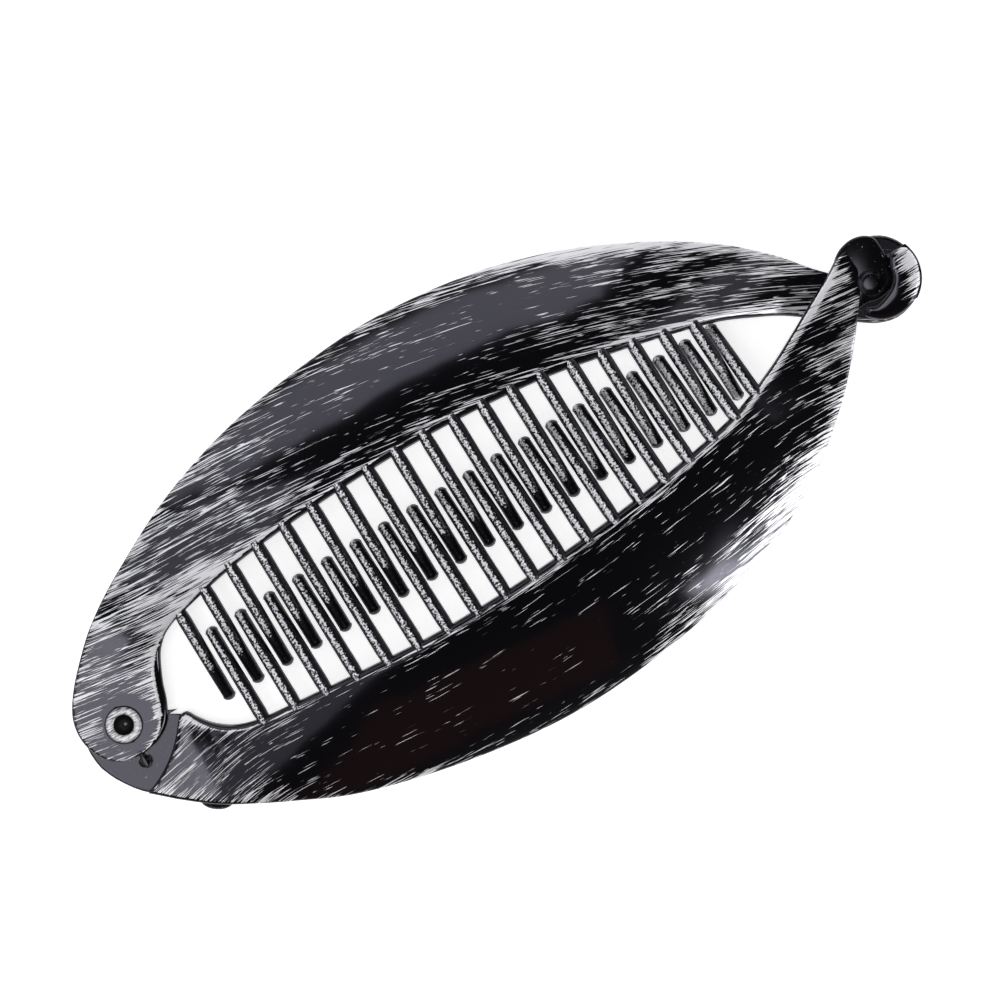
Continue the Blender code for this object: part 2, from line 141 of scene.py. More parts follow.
LOWER_ROWS = (
    Row(8.0, -3.0, -2.1, -11.1, STEP_TOP, STEP_TOP, 1.1),
    Row(9.4, -3.0, 0.1, -13.1, 5.1, 4.9, 1.0),
    Row(10.2, -4.5, 1.9, -14.7, 5.4, 4.9, 0.9),
    Row(11.9, -6.8, 6.4, -18.2, 6.2, 4.9, 0.5),
    Row(14.5, -8.7, 11.5, -21.1, 7.6, 5.3, 0.2),
    Row(18.5, -9.9, 17.3, -24.0, 9.4, 6.0),
    Row(26.0, -10.7, 25.4, -27.6, 12.4, 7.2),
    Row(36.1, -11.6, 36.1, -30.6, 15.9, 8.7),
    Row(48.6, -12.4, 48.6, -32.9, 18.8, 9.9),
    Row(61.1, -12.3, 61.1, -34.0, 20.4, 10.6),
    Row(73.5, -11.6, 74.0, -33.4, 20.4, 10.7),
    Row(86.0, -10.3, 88.0, -31.1, 18.6, 9.9),
    Row(98.5, -8.3, 102.0, -26.9, 14.8, 8.2),
    Row(107.5, -6.2, 113.0, -20.8, 11.4, 6.5),
    Row(115.0, -3.1, 121.5, -13.9, 8.2, 5.2),
    Row(120.3, -0.4, 126.5, -8.6, 6.3, 4.7),
    Row(125.5, 2.4, 130.0, -4.2, 5.1, 4.6),
    Row(129.8, 4.7, 132.8, -0.4, 4.5, 4.4),
    Row(132.2, 6.2, 134.2, 2.2, 4.2, 4.15),
    Row(134.8, 7.1, 135.7, 4.0, 3.55, 3.85),
)

TONGUE_ROWS = (
    Row(132.7, -2.3, 131.3, -4.1, 6.1, 5.35),
    Row(134.0, -2.95, 133.6, -5.9, 6.1, 5.35),
    Row(135.8, -2.5, 136.4, -6.5, 6.2, 5.35),
    Row(137.4, -1.7, 139.5, -5.8, 6.3, 5.35),
    Row(138.4, -0.5, 141.9, -3.7, 6.3, 5.35),
    Row(138.8, 1.2, 143.1, -0.9, 6.3, 5.35),
    Row(139.3, 2.1, 143.2, 1.2, 6.3, 5.35),
    Row(139.6, 2.8, 142.7, 2.8, 6.2, 5.35),
)

UPPER_COMB = Comb(16.5, 107.8, 0.050, 10.4, -5.1, -5.1, 0.0, 2.0)
LOWER_COMB = Comb(19.4, 110.9, 0.060, -7.0, 6.4, 7.6, 0.9, 4.0)


class Lean(NamedTuple):
    """Direction of the brush strokes at one place along the clip."""

    x: float
    degrees: float


class Cover(NamedTuple):
    """Share of silver across a blade at one place along the clip, inner edge to outer edge."""

    x: float
    at_inner: float
    near_inner: float
    middle: float
    near_outer: float
    at_outer: float


# Where a Cover's five values hold, as shares of the blade's width.
COVER_STOPS = np.array([0.0, 0.18, 0.5, 0.82, 1.0])


class Rim(NamedTuple):
    """The rims at one place along the clip.

    The inner and outer edges have bare strips, inner and outer mm wide. A silver line with the
    share of silver line runs above the inner strip and is wide mm wide.
    """

    x: float
    inner: float
    outer: float
    line: float
    wide: float


UPPER_RIM = (
    Rim(-8.0, 0.7, 0.22, 0.8, 0.3),
    Rim(0.0, 1.0, 0.25, 0.95, 0.35),
    Rim(9.0, 1.0, 0.2, 0.95, 0.4),
    Rim(12.0, 0.45, 0.12, 0.9, 0.4),
    Rim(34.0, 0.45, 0.12, 0.8, 0.35),
    Rim(48.0, 0.75, 0.12, 0.6, 0.25),
    Rim(85.0, 0.8, 0.1, 0.6, 0.22),
    Rim(108.0, 0.75, 0.05, 0.8, 0.3),
    Rim(122.0, 0.65, 0.05, 0.8, 0.35),
    Rim(130.0, 0.4, 0.05, 0.5, 0.3),
    Rim(143.0, 0.0, 0.0, 0.3, 0.3),
)
LOWER_RIM = (
    Rim(-4.0, 0.6, 0.4, 0.8, 0.3),
    Rim(9.0, 0.6, 0.4, 0.85, 0.3),
    Rim(14.0, 0.6, 0.15, 0.85, 0.3),
    Rim(26.0, 0.6, 0.1, 0.5, 0.25),
    Rim(50.0, 0.75, 0.05, 0.3, 0.2),
    Rim(88.0, 0.8, 0.0, 0.4, 0.25),
    Rim(104.0, 0.6, 0.0, 0.8, 0.4),
    Rim(114.0, 0.4, 0.0, 0.75, 0.7),
    Rim(126.0, 0.3, 0.0, 0.72, 1.0),
    Rim(131.0, 0.3, 0.0, 0.4, 0.8),
    Rim(134.0, 0.2, 0.0, 0.0, 0.3),
)
TONGUE_RIM = (Rim(130.0, 0.4, 0.1, 0.0, 0.3), Rim(144.0, 0.4, 0.1, 0.0, 0.3))

UPPER_LEAN = (
    Lean(-8.0, -10.0),
    Lean(8.0, -7.0),
    Lean(18.0, -2.0),
    Lean(34.0, -4.0),
    Lean(60.0, -8.0),
    Lean(90.0, -16.0),
    Lean(120.0, -24.0),
    Lean(143.0, -35.0),
)
TONGUE_LEAN = (Lean(130.0, -6.0), Lean(144.0, 4.0))
LOWER_LEAN = (
    Lean(-4.0, 12.0),
    Lean(10.0, 12.0),
    Lean(20.0, -2.0),
    Lean(40.0, -4.0),
    Lean(65.0, 3.0),
    Lean(95.0, 8.0),
    Lean(105.0, 9.0),
    Lean(113.0, 1.0),
    Lean(121.0, -5.0),
    Lean(134.0, -8.0),
)

UPPER_COVER = (
    Cover(-8.0, 0.44, 0.42, 0.40, 0.42, 0.48),
    Cover(2.0, 0.62, 0.48, 0.42, 0.44, 0.54),
    Cover(9.0, 0.96, 0.66, 0.46, 0.46, 0.58),
    Cover(22.0, 0.96, 0.62, 0.40, 0.42, 0.60),
    Cover(38.0, 0.62, 0.36, 0.24, 0.30, 0.54),
    Cover(58.0, 0.34, 0.24, 0.18, 0.22, 0.50),
    Cover(82.0, 0.34, 0.24, 0.20, 0.24, 0.62),
    Cover(100.0, 0.42, 0.36, 0.34, 0.36, 0.84),
    Cover(114.0, 0.56, 0.48, 0.42, 0.46, 0.86),
    Cover(126.0, 0.56, 0.50, 0.48, 0.50, 0.70),
    Cover(132.0, 0.10, 0.20, 0.30, 0.30, 0.40),
    Cover(136.0, 0.00, 0.00, 0.00, 0.00, 0.00),
    Cover(143.0, 0.00, 0.00, 0.00, 0.00, 0.00),
)
LOWER_COVER = (
    Cover(-4.0, 0.62, 0.52, 0.50, 0.52, 0.66),
    Cover(10.0, 0.62, 0.42, 0.32, 0.34, 0.52),
    Cover(24.0, 0.46, 0.22, 0.12, 0.16, 0.40),
    Cover(50.0, 0.30, 0.16, 0.07, 0.09, 0.36),
    Cover(76.0, 0.30, 0.18, 0.10, 0.14, 0.52),
    Cover(92.0, 0.36, 0.20, 0.16, 0.30, 0.92),
    Cover(104.0, 0.40, 0.22, 0.24, 0.52, 1.00),
    Cover(114.0, 0.46, 0.26, 0.24, 0.42, 0.86),
    Cover(121.0, 0.56, 0.38, 0.32, 0.42, 0.64),
    Cover(129.0, 0.68, 0.56, 0.50, 0.50, 0.58),
    Cover(132.0, 0.46, 0.44, 0.42, 0.40, 0.38),
    Cover(134.5, 0.22, 0.20, 0.16, 0.12, 0.10),
)
TONGUE_COVER = (
    Cover(131.0, 0.00, 0.00, 0.00, 0.00, 0.00),
    Cover(137.4, 0.00, 0.02, 0.06, 0.12, 0.12),
    Cover(139.2, 0.14, 0.20, 0.30, 0.40, 0.40),
    Cover(140.4, 0.40, 0.48, 0.56, 0.64, 0.60),
    Cover(141.6, 0.56, 0.66, 0.72, 0.76, 0.70),
    Cover(143.3, 0.64, 0.72, 0.80, 0.82, 0.74),
)


class Body(Enum):
    """The two bodies of the clip that move against each other."""

    LOWER = "lower"
    UPPER = "upper"


class Slot(Enum):
    """The record's material slots."""

    PLASTIC = "brushed_plastic"
    METAL = "rivet_metal"


def linear(colour: str) -> tuple[float, float, float, float]:
    """Turn an sRGB hex colour into linear light.

    Args:
        colour: six hex digits with a leading hash sign.

    Returns:
        Red, green, blue and an alpha of one. Each channel is ((c + 0.055) / 1.055) ** 2.4,
        or c / 12.92 in the darkest part.
    """
    channels = [int(colour[place : place + 2], 16) / 255 for place in (1, 3, 5)]
    bright = [((c + 0.055) / 1.055) ** 2.4 if c > 0.04045 else c / 12.92 for c in channels]
    return bright[0], bright[1], bright[2], 1.0


def add_node(
    tree: bpy.types.NodeTree,
    kind: str,
    settings: dict[str, Any] | None = None,
    inputs: dict[Any, Any] | None = None,
) -> bpy.types.Node:
    """Add one node with its settings and its links.

    Args:
        tree: the node tree.
        kind: the node's type.
        settings: its properties.
        inputs: by socket name or number, a value or the output that is linked to it.

    Returns:
        The node.
    """
    node = tree.nodes.new(kind)
    for name, value in (settings or {}).items():
        setattr(node, name, value)
    for name, value in (inputs or {}).items():
        if isinstance(value, bpy.types.NodeSocket):
            tree.links.new(value, node.inputs[name])
        else:
            node.inputs[name].default_value = value
    return node


def smooth(low: float, high: float, value: np.ndarray) -> np.ndarray:
    """The smooth step 3t^2 - 2t^3 of t = (value - low) / (high - low), held from 0 to 1."""
    t = np.clip((value - low) / (high - low), 0.0, 1.0)
    return t * t * (3 - 2 * t)


def through_rows(table: np.ndarray, places: np.ndarray) -> np.ndarray:
    """Sections at any places along a table, on a Catmull-Rom curve through each column.

    Between rows b and c, with a before and d after, and t from 0 to 1:
    b + t/2 (c - a + t (2a - 5b + 4c - d + t (3b - a - 3c + d))).

    Args:
        table: one row for each section.
        places: row numbers with fractions.

    Returns:
        One section for each place.
    """
    padded = np.vstack([2 * table[0] - table[1], table, 2 * table[-1] - table[-2]])
    span = np.clip(places.astype(int), 0, len(table) - 2)
    t = (places - span)[:, None]
    a, b, c, d = (padded[span + step] for step in range(4))
    bend = 2 * a - 5 * b + 4 * c - d
    twist = 3 * b - a - 3 * c + d
    return b + 0.5 * t * (c - a + t * (bend + t * twist))


def unit(vectors: np.ndarray) -> np.ndarray:
    """Each vector divided by its length."""
    return vectors / np.maximum(np.linalg.norm(vectors, axis=-1, keepdims=True), 1e-9)


@dataclass
class Patch:
    """A grid of points of one surface, with what the finish needs to know about each point."""

    points: np.ndarray
    depth: np.ndarray
    across: np.ndarray
    edge: np.ndarray
    border: np.ndarray

    def corners(self, start: int) -> np.ndarray:
        """Number the corners of every cell.

        Args:
            start: the number of the grid's first point.

        Returns:
            Four numbers of points for each cell, in order round it.
        """
        rows, columns = self.points.shape[:2]
        number = start + np.arange(rows * columns).reshape(rows, columns)
        cells = (number[:-1, :-1], number[:-1, 1:], number[1:, 1:], number[1:, :-1])
        return np.stack(cells, axis=-1).reshape(-1, 4)


def arc_steps(radius: float, steps: int = RIM_STEPS) -> np.ndarray:
    """Distances from an edge at equal angles of a quarter circle, from 0 to its radius."""
    return radius * (1.0 - np.cos(np.linspace(0.0, math.pi / 2, steps + 1)))


def arc_drop(radius: float, steps: int = RIM_STEPS) -> np.ndarray:
    """Heights on a quarter circle at the angles of arc_steps, from 0 to its radius."""
    return radius * np.sin(np.linspace(0.0, math.pi / 2, steps + 1))


@dataclass
class RuledShell:
    """A closed wall between two edges, with its rims rounded.

    Across a section, v runs from 0 at the inner edge to 1 at the outer one. The plan is
    inner + v chord + 4v(1 - v) bulge, and the height inner_z + (outer_z - inner_z) f(v)
    + crown 4v(1 - v), where f(v) = straight v + (1 - straight) v^2. The wall lies below it.
    The rims are quarter ellipses: as wide as rim, or as inner_rims says by row number along the
    inner edge, and as deep as rim, or inner_fall along the inner edge. The underside's edges
    are eased by foot.
    """

    rows: tuple[Row, ...]
    wall: float = WALL
    straight: float = CROWN_STRAIGHT
    crown: float = 0.0
    rim: float = 0.5
    foot: float = 0.25
    spacing: float = 0.8
    columns: int = 26
    inner_rims: tuple[tuple[float, float], ...] = ()
    inner_fall: float = 0.0
    wall_steps: tuple[float, ...] = (0.0, 0.2, 0.6, 1.0)

    def places(self) -> np.ndarray:
        """Space the cross-sections evenly along the middle, and closer together at the ends.

        Returns:
            Row numbers with fractions.
        """
        table = np.array(self.rows)
        fine = np.linspace(0, len(table) - 1, 40 * len(table))
        middle = through_rows(table, fine)
        line = (middle[:, 0:2] + middle[:, 2:4]) / 2
        run = np.linalg.norm(np.diff(line, axis=0), axis=1)
        run = np.concatenate([[0.0], np.cumsum(run)])
        near = arc_steps(self.rim)
        inside = np.linspace(self.rim, run[-1] - self.rim, max(3, round(run[-1] / self.spacing)))
        stops = np.concatenate([near[:-1], inside, run[-1] - near[-2::-1]])
        return np.interp(stops, run, fine)

    def lie(self) -> tuple[np.ndarray, ...]:
        """Work out the top surface before its rims are rounded.

        Returns:
            Points, unit normals, distances to the inner and to the outer edge as shares of
            their rims' widths, share across and width in mm.
        """
        places = self.places()
        sections = through_rows(np.array(self.rows), places)
        inner_rim = np.full(len(places), self.rim)
        if self.inner_rims:
            at, wide = np.array(self.inner_rims).T
            inner_rim = np.interp(places, at, wide)
        inner = sections[:, 0:2]
        chord = sections[:, 2:4] - inner
        width = np.hypot(np.linalg.norm(chord, axis=1), sections[:, 5] - sections[:, 4])[:, None]
        near = arc_steps(1.0, END_STEPS) * inner_rim[:, None] / width
        far = arc_steps(self.rim) / width
        middle = np.linspace(0.0, 1.0, self.columns)[None, :]
        middle = near[:, -1:] + (1 - near[:, -1:] - far[:, -1:]) * middle
        v = np.concatenate([near[:, :-1], middle, 1 - far[:, -2::-1]], axis=1)
        side = unit(np.stack([-chord[:, 1], chord[:, 0]], axis=1))
        hump = 4 * v * (1 - v)
        lean = 4 * (1 - 2 * v)
        bulge = sections[:, 6, None]
        fall = (sections[:, 5] - sections[:, 4])[:, None]
        plan = inner[:, None] + chord[:, None] * v[:, :, None]
        plan = plan + side[:, None] * (bulge * hump)[:, :, None]
        height = sections[:, 4, None] + fall * (self.straight * v + (1 - self.straight) * v**2)
        height = np.maximum(height, min(self.wall, WALL)) + self.crown * hump
        points = np.concatenate([plan, height[:, :, None]], axis=2)
        over = chord[:, None] + side[:, None] * (bulge * lean)[:, :, None]
        climb = fall * (self.straight + 2 * (1 - self.straight) * v) + self.crown * lean
        along_v = np.concatenate([over, climb[:, :, None]], axis=2)
        normal = unit(np.cross(along_v, np.gradient(points, axis=0)))
        normal = normal * np.sign(normal[:, :, 2:3])
        inner = v * width / inner_rim[:, None]
        return points, normal, inner, (1 - v) * width / self.rim, v, width

    def patches(self) -> list[Patch]:
        """Build the top, the underside and the rim all round.

        Returns:
            Three grids that meet point by point.
        """
        points, normal, inner, outer, v, width = self.lie()
        start = np.linalg.norm(points - points[:1], axis=2)
        stop = np.linalg.norm(points - points[-1:], axis=2)
        ends = np.clip(1 - np.minimum(start, stop) / self.rim, 0, 1)
        inner = np.clip(1 - inner, 0, 1)
        outer = np.clip(1 - outer, 0, 1)
        side = np.maximum(inner, outer)
        share = np.clip(np.hypot(side, ends), 0, 1)
        fall = self.rim + (max(self.inner_fall, self.rim) - self.rim) * (inner >= outer)
        fall = np.where(side > 0, fall, self.rim)
        top = fall * (1 - np.sqrt(1 - share**2))
        under = self.wall - self.foot * (1 - np.sqrt(1 - share**2))
        near = v * width
        border = np.minimum((1 - v) * width, np.minimum(start, stop))
        made = []
        for depth in (top, under):
            made.append(Patch(points - normal * depth[:, :, None], depth, v, near, border))
        loop = self.loop(points.shape[:2])
        upper = top.reshape(-1)[loop][None]
        depths = np.array(self.wall_steps)[:, None]
        depths = upper + (under.reshape(-1)[loop][None] - upper) * depths
        rim_points = points.reshape(-1, 3)[loop][None] - (
            normal.reshape(-1, 3)[loop][None] * depths[:, :, None]
        )
        rest = [np.repeat(a.reshape(-1)[loop][None], len(depths), axis=0) for a in (v, near, border)]
        return made + [Patch(rim_points, depths, *rest)]

    @staticmethod
    def loop(shape: tuple[int, int]) -> np.ndarray:
        """Go round a grid's border.

        Args:
            shape: the grid's numbers of rows and columns.

        Returns:
            Numbers of points in order, from the first point back to it.
        """
        number = np.arange(shape[0] * shape[1]).reshape(shape)
        sides = (number[0, :-1], number[:-1, -1], number[-1, :0:-1], number[::-1, 0])
        return np.concatenate(sides)


@dataclass
class RoundShell:
    """A flat plate with an outline all round a centre, and a hole or none.

    A point is centre + (hole + w (reach(a) - hole)) (cos a, sin a), with w from 0 to 1, where
    reach(a) is the outline's distance at the angle a. Its rims are rounded as quarter circles.
    The top is a low dome: it falls by dome w^2.
    """

    centre: tuple[float, float]
    outline: np.ndarray
    bottom: float
    top: float
    hole: float = 0.0
    rim: float = 0.35
    sides: int = 128
    circles: int = 12
    dome: float = 0.0

    def reach(self, angle: np.ndarray) -> np.ndarray:
        """Measure the outline, whose points are joined by straight edges.

        Args:
            angle: directions from the centre, in radians.

        Returns:
            The outline's distance from the centre in each direction.
        """
        fine = np.linspace(0, 1, 24, endpoint=False)
        closed = np.vstack([self.outline, self.outline[:1]])
        parts = closed[:-1, None] + (closed[1:] - closed[:-1])[:, None] * fine[None, :, None]
        path = parts.reshape(-1, 2) - np.array(self.centre)
        turn = np.arctan2(path[:, 1], path[:, 0])
        order = np.argsort(turn)
        far = np.hypot(path[order, 0], path[order, 1])
        return np.interp(angle, turn[order], far, period=2 * math.pi)

    def patches(self) -> list[Patch]:
        """Build the top, the underside and the walls as rings of points.

        Returns:
            Three grids, or four where there is a hole.
        """
        angle = np.linspace(-math.pi, math.pi, self.sides + 1)
        reach = self.reach(angle)[None, :]
        near = arc_steps(self.rim)[:, None]
        fill = np.linspace(0, 1, self.circles)[:, None]
        first = self.hole + (near[-1] if self.hole else 0.0)
        middle = first + (reach - self.rim - first) * fill
        rings = [middle, reach - near[-2::-1]]
        drops = [np.zeros_like(middle), self.rim - arc_drop(self.rim)[-2::-1, None] + 0 * reach]
        if self.hole:
            rings.insert(0, self.hole + near[:-1] + 0 * reach)
            drops.insert(0, self.rim - arc_drop(self.rim)[:-1, None] + 0 * reach)
        radius = np.concatenate(rings)
        drop = np.concatenate(drops)
        fall = self.dome * (radius / reach) ** 2
        made = [
            self.ring(radius, angle, self.top - drop - fall),
            self.ring(radius, angle, self.bottom + drop),
        ]
        levels = np.linspace(self.top - self.rim - self.dome, self.bottom + self.rim, 3)[:, None]
        made.append(self.ring(reach + 0 * levels, angle, levels + 0 * reach))
        if self.hole:
            made.append(self.ring(self.hole + 0 * (levels + reach), angle, levels + 0 * reach))
        return made

    def ring(self, radius: np.ndarray, angle: np.ndarray, height: np.ndarray) -> Patch:
        """Set rings of points round the centre.

        Args:
            radius: distances from the centre.
            angle: directions from the centre.
            height: heights, one for each radius.

        Returns:
            The grid, whose depth is measured from the top.
        """
        x = self.centre[0] + radius * np.cos(angle)
        y = self.centre[1] + radius * np.sin(angle)
        points = np.stack([x, y, height + 0 * x], axis=-1)
        return Patch(points, self.top - points[:, :, 2], 0 * x + 0.5, 0 * x, 0 * x)


@dataclass
class TurnedPiece:
    """A surface of revolution: each profile point (r, z) is carried round a full circle."""

    profile: list[tuple[float, float]]
    centre: tuple[float, float] = (0.0, 0.0)
    sides: int = 96

    def patches(self) -> list[Patch]:
        """Carry the profile round.

        Returns:
            One grid, whose seam and poles close when its points are merged.
        """
        angle = np.linspace(0, 2 * math.pi, self.sides + 1)
        radius, height = np.array(self.profile).T[:, :, None]
        x = self.centre[0] + radius * np.cos(angle)
        y = self.centre[1] + radius * np.sin(angle)
        points = np.stack([x, y, height + 0 * x], axis=-1)
        return [Patch(points, height.max() - points[:, :, 2], 0 * x, 0 * x, 0 * x)]


@dataclass
class Teeth:
    """A comb's rods: a circle carried along each tooth's path, with a domed free end.

    A tooth's middle runs from inside the blade's edge to its tip. It leans by
    (read_y - y) tan(lean) and droops by droop (share of its length)^2. Its thickness is
    root_size of the full one at the root, full a fifth of the way along, and tip_size before
    the round end. Its painted band lies tilt radians from the top, towards -x where the light
    falls. It is partly where the brush struck and partly painted light, and it leaves the
    shaded +x side black. On the first teeth the band ends bare_tip mm short: its depth grows by
    bare_depth within bare_fade mm of that place.
    """

    rows: tuple[Row, ...]
    comb: Comb
    count: int = 19
    radius: float = 1.12
    root: float = 0.9
    droop: float = 3.6
    root_size: float = 0.82
    tip_size: float = 0.9
    bare_tip: float = 0.0
    bare_depth: float = 0.3
    bare_fade: float = 0.8
    tilt: float = 0.3
    steps: int = 26
    sides: int = 18
    hinge_end: float = 8.0

    def edge(self, column: int, at_x: np.ndarray) -> np.ndarray:
        """Read a column of the table along the inner edge, past the rows round the hinge.

        Args:
            column: 1 for the edge's y, 4 for its height.
            at_x: places along the clip.

        Returns:
            The column's value at each place.
        """
        sections = through_rows(np.array(self.rows), np.linspace(0, len(self.rows) - 1, 400))
        first = int(np.argmax(sections[:, 0] > self.hinge_end))
        return np.interp(at_x, sections[first:, 0], sections[first:, column])

    def patches(self) -> list[Patch]:
        """Carry a circle along every tooth.

        Returns:
            One grid for each tooth, closed at both ends.
        """
        comb = self.comb
        share = np.linspace(0.0, 1.0, self.count)
        bent = share + comb.fall * share * (1 - share)
        x = comb.first_x + (comb.last_x - comb.first_x) * bent
        tip = comb.first_tip + (comb.last_tip - comb.first_tip) * share
        lean = np.radians(comb.first_lean + (comb.last_lean - comb.first_lean) * share)
        edge_y = self.edge(1, x)
        side = np.sign(edge_y)
        root_y = edge_y + side * self.root
        length = np.abs(root_y - tip)[:, None]
        dome = arc_steps(self.radius * self.tip_size, END_STEPS)
        along = np.linspace(0, 1, self.steps)[None] * (length - dome[-1])
        along = np.concatenate([0 * length, along, length - dome[None, -2::-1]], axis=1)
        size = np.ones(along.shape[1]) * self.radius
        full, last = self.steps // 5, self.steps + 1
        size[:full] *= np.linspace(self.root_size, 1.0, full)
        size[0] = 0.0
        size[full:last] *= np.linspace(1.0, self.tip_size, last - full)
        size[last:] *= arc_drop(1.0, END_STEPS)[-2::-1]
        y = root_y[:, None] - side[:, None] * along
        z = self.edge(4, x)[:, None] - WALL / 2 - self.droop * (along / length) ** 2
        path_x = x[:, None] + (comb.read_y - y) * np.tan(lean)[:, None]
        angle = np.linspace(0, 2 * math.pi, self.sides + 1)
        px = path_x[:, :, None] + size[None, :, None] * np.cos(angle)
        pz = z[:, :, None] + size[None, :, None] * np.sin(angle)
        py = y[:, :, None] + 0 * px
        points = np.stack([px, py, pz], axis=-1)
        bare = self.bare_tip * (1 - smooth(0.4, 0.95, share))[:, None]
        painted = smooth(-self.bare_fade, self.bare_fade, length - along - bare)
        tip_drop = self.bare_depth * (1 - painted) * (bare > 0)
        # The band's top is turned towards the lit -x side: partly the brush's own band and partly
        # painted light.
        top = self.radius * (1 - np.sin(angle - self.tilt)) + tip_drop[:, :, None]
        none = 0 * px[0]
        return [Patch(points[k], top[k], none, none, none) for k in range(self.count)]


class Skin(NamedTuple):
    """A merged surface, with depth, share across and distances to its edges by point."""

    points: np.ndarray
    faces: list[list[int]]
    depth: np.ndarray
    across: np.ndarray
    edge: np.ndarray
    border: np.ndarray


def merge(patches: list[Patch]) -> Skin:
    """Join grids into one mesh, with points in the same place merged.

    Args:
        patches: grids whose borders meet point by point.

    Returns:
        The surface, with faces of three or four corners.
    """
    points = np.concatenate([p.points.reshape(-1, 3) for p in patches])
    values = [
        np.concatenate([np.reshape(getattr(p, name), -1) for p in patches])
        for name in ("depth", "across", "edge", "border")
    ]
    starts = np.cumsum([0] + [p.points[..., 0].size for p in patches])
    cells = np.concatenate([p.corners(start) for p, start in zip(patches, starts)])
    _, first, index = np.unique(np.round(points, 4), axis=0, return_index=True, return_inverse=True)
    cells = index.reshape(-1)[cells]
    same = cells == np.roll(cells, -1, axis=1)
    quads = cells[~same.any(axis=1)]
    single = same.sum(axis=1) == 1
    bent = cells[single]
    keep = ~same[single]
    triangles = bent[keep].reshape(-1, 3)
    faces = quads.tolist() + triangles.tolist()
    return Skin(points[first], faces, *(value[first] for value in values))


@dataclass
class Dress:
    """What the brushed finish reads from a piece: stroke coordinates and the share of silver.

    The halo is the bare ring round the rivet: the x and y of its middle and its radius. The
    paint thins out over halo_fade and strip_fade mm beside what is bare, and goes between the
    depths of walls, in mm below the top.
    """

    leans: tuple[Lean, ...]
    covers: tuple[Cover, ...]
    rims: tuple[Rim, ...]
    halo: tuple[float, float, float] = (0.0, 0.0, -1.0)
    halo_fade: float = 0.8
    strip_fade: float = 0.15
    walls: tuple[float, float] = (0.16, 0.26)
    span: tuple[float, float] = (-12.0, 150.0)

    def strokes(self, points: np.ndarray) -> np.ndarray:
        """Lay the strokes out straight.

        Args:
            points: places on the piece.

        Returns:
            Stroke coordinates: x along, and y less the integral of tan(lean) over x across.
        """
        table = np.array(self.leans)
        fine = np.linspace(*self.span, 500)
        slope = np.tan(np.radians(np.interp(fine, table[:, 0], table[:, 1])))
        rise = np.concatenate([[0.0], np.cumsum((slope[1:] + slope[:-1]) / 2 * np.diff(fine))])
        across = points[:, 1] - np.interp(points[:, 0], fine, rise)
        return np.stack([points[:, 0], across], axis=1)

    def silver(self, skin: Skin) -> np.ndarray:
        """Work out how much of the black is brushed over.

        Args:
            skin: the piece's surface.

        Returns:
            The table's share of silver at each point, with a line along the inner edge above
            its bare strip, and none on the walls, on the bare strips or close to the rivet.
        """
        points, _, depth, across, edge, border = skin
        table = np.array(self.covers)
        columns = [np.interp(points[:, 0], table[:, 0], table[:, k]) for k in range(1, 6)]
        share = np.stack(columns, axis=1)
        # Kept just under 1, so that the outer edge belongs to the last span.
        place = np.clip(across, 0, 1) * 0.9999
        span = np.searchsorted(COVER_STOPS, place, side="right") - 1
        t = (place - COVER_STOPS[span]) / np.diff(COVER_STOPS)[span]
        pick = np.arange(len(points))
        mixed = share[pick, span] * (1 - t) + share[pick, span + 1] * t
        rims = np.array(self.rims)
        inner, outer, line, wide = (
            np.interp(points[:, 0], rims[:, 0], rims[:, k]) for k in range(1, 5)
        )
        above = edge - inner
        line = line * (1 - smooth(0.0, 1.0, (above - wide * 0.7) / (wide * 0.8)))
        mixed = mixed + (1.0 - mixed) * line
        bare = smooth(-0.1, 0.04, above) * smooth(0.0, 1.0, (border - outer * 0.7) / self.strip_fade)
        x, y, radius = self.halo
        clear = smooth(radius, radius + self.halo_fade, np.hypot(points[:, 0] - x, points[:, 1] - y))
        return mixed * bare * clear * (1 - smooth(*self.walls, depth))


def make_piece(
    name: str,
    patches: list[Patch],
    material: bpy.types.Material,
    body: Body,
    dress: Dress | None = None,
) -> bpy.types.Object:
    """Put a merged surface into a mesh object that rides on its body.

    Args:
        name: the piece's name.
        patches: its grids.
        material: its finish.
        body: what it moves with.
        dress: stroke coordinates and silver, where the finish reads them.

    Returns:
        The object, with its place in its mesh.
    """
    skin = merge(patches)
    points = skin.points
    points[:, 2] = np.maximum(points[:, 2], LOWEST)
    mesh = bpy.data.meshes.new(name)
    mesh.from_pydata(((points + PIVOT) * MM).tolist(), [], skin.faces)
    corner = np.empty(len(mesh.loops), dtype=np.int32)
    mesh.loops.foreach_get("vertex_index", corner)
    strokes = dress.strokes(points) if dress else points[:, :2]
    silver = dress.silver(skin) if dress else np.zeros(len(points))
    layer = mesh.uv_layers.new(name="strokes")
    layer.data.foreach_set("uv", strokes[corner].astype(np.float32).ravel())
    for label, values in (("silver", silver), ("depth", skin.depth)):
        made = mesh.attributes.new(label, "FLOAT", "POINT")
        made.data.foreach_set("value", values.astype(np.float32))
    work = bmesh.new()
    work.from_mesh(mesh)
    bmesh.ops.recalc_face_normals(work, faces=work.faces)
    work.to_mesh(mesh)
    work.free()
    mesh.materials.append(material)
    mesh.shade_smooth()
    made = bpy.data.objects.new(name, mesh)
    bpy.context.scene.collection.objects.link(made)
    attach(made, body.value)
    LOG.info("%s: %d faces", name, len(mesh.polygons))
    return made


def new_material(name: str) -> tuple[bpy.types.Material, bpy.types.NodeTree]:
    """Start a node material.

    Args:
        name: the real material and how its surface was made.

    Returns:
        The material and its empty tree.
    """
    made = bpy.data.materials.new(name)
    made.use_nodes = True
    made.node_tree.nodes.clear()
    return made, made.node_tree


# The black plastic's gloss turns white light slightly violet.
VIOLET = "#E2E0F2"


class Stroke(NamedTuple):
    """One layer of brush strokes: length, width, weight, where its noise starts, its grain."""

    along: float
    across: float
    weight: float
    start: float
    grain: float = 0.5


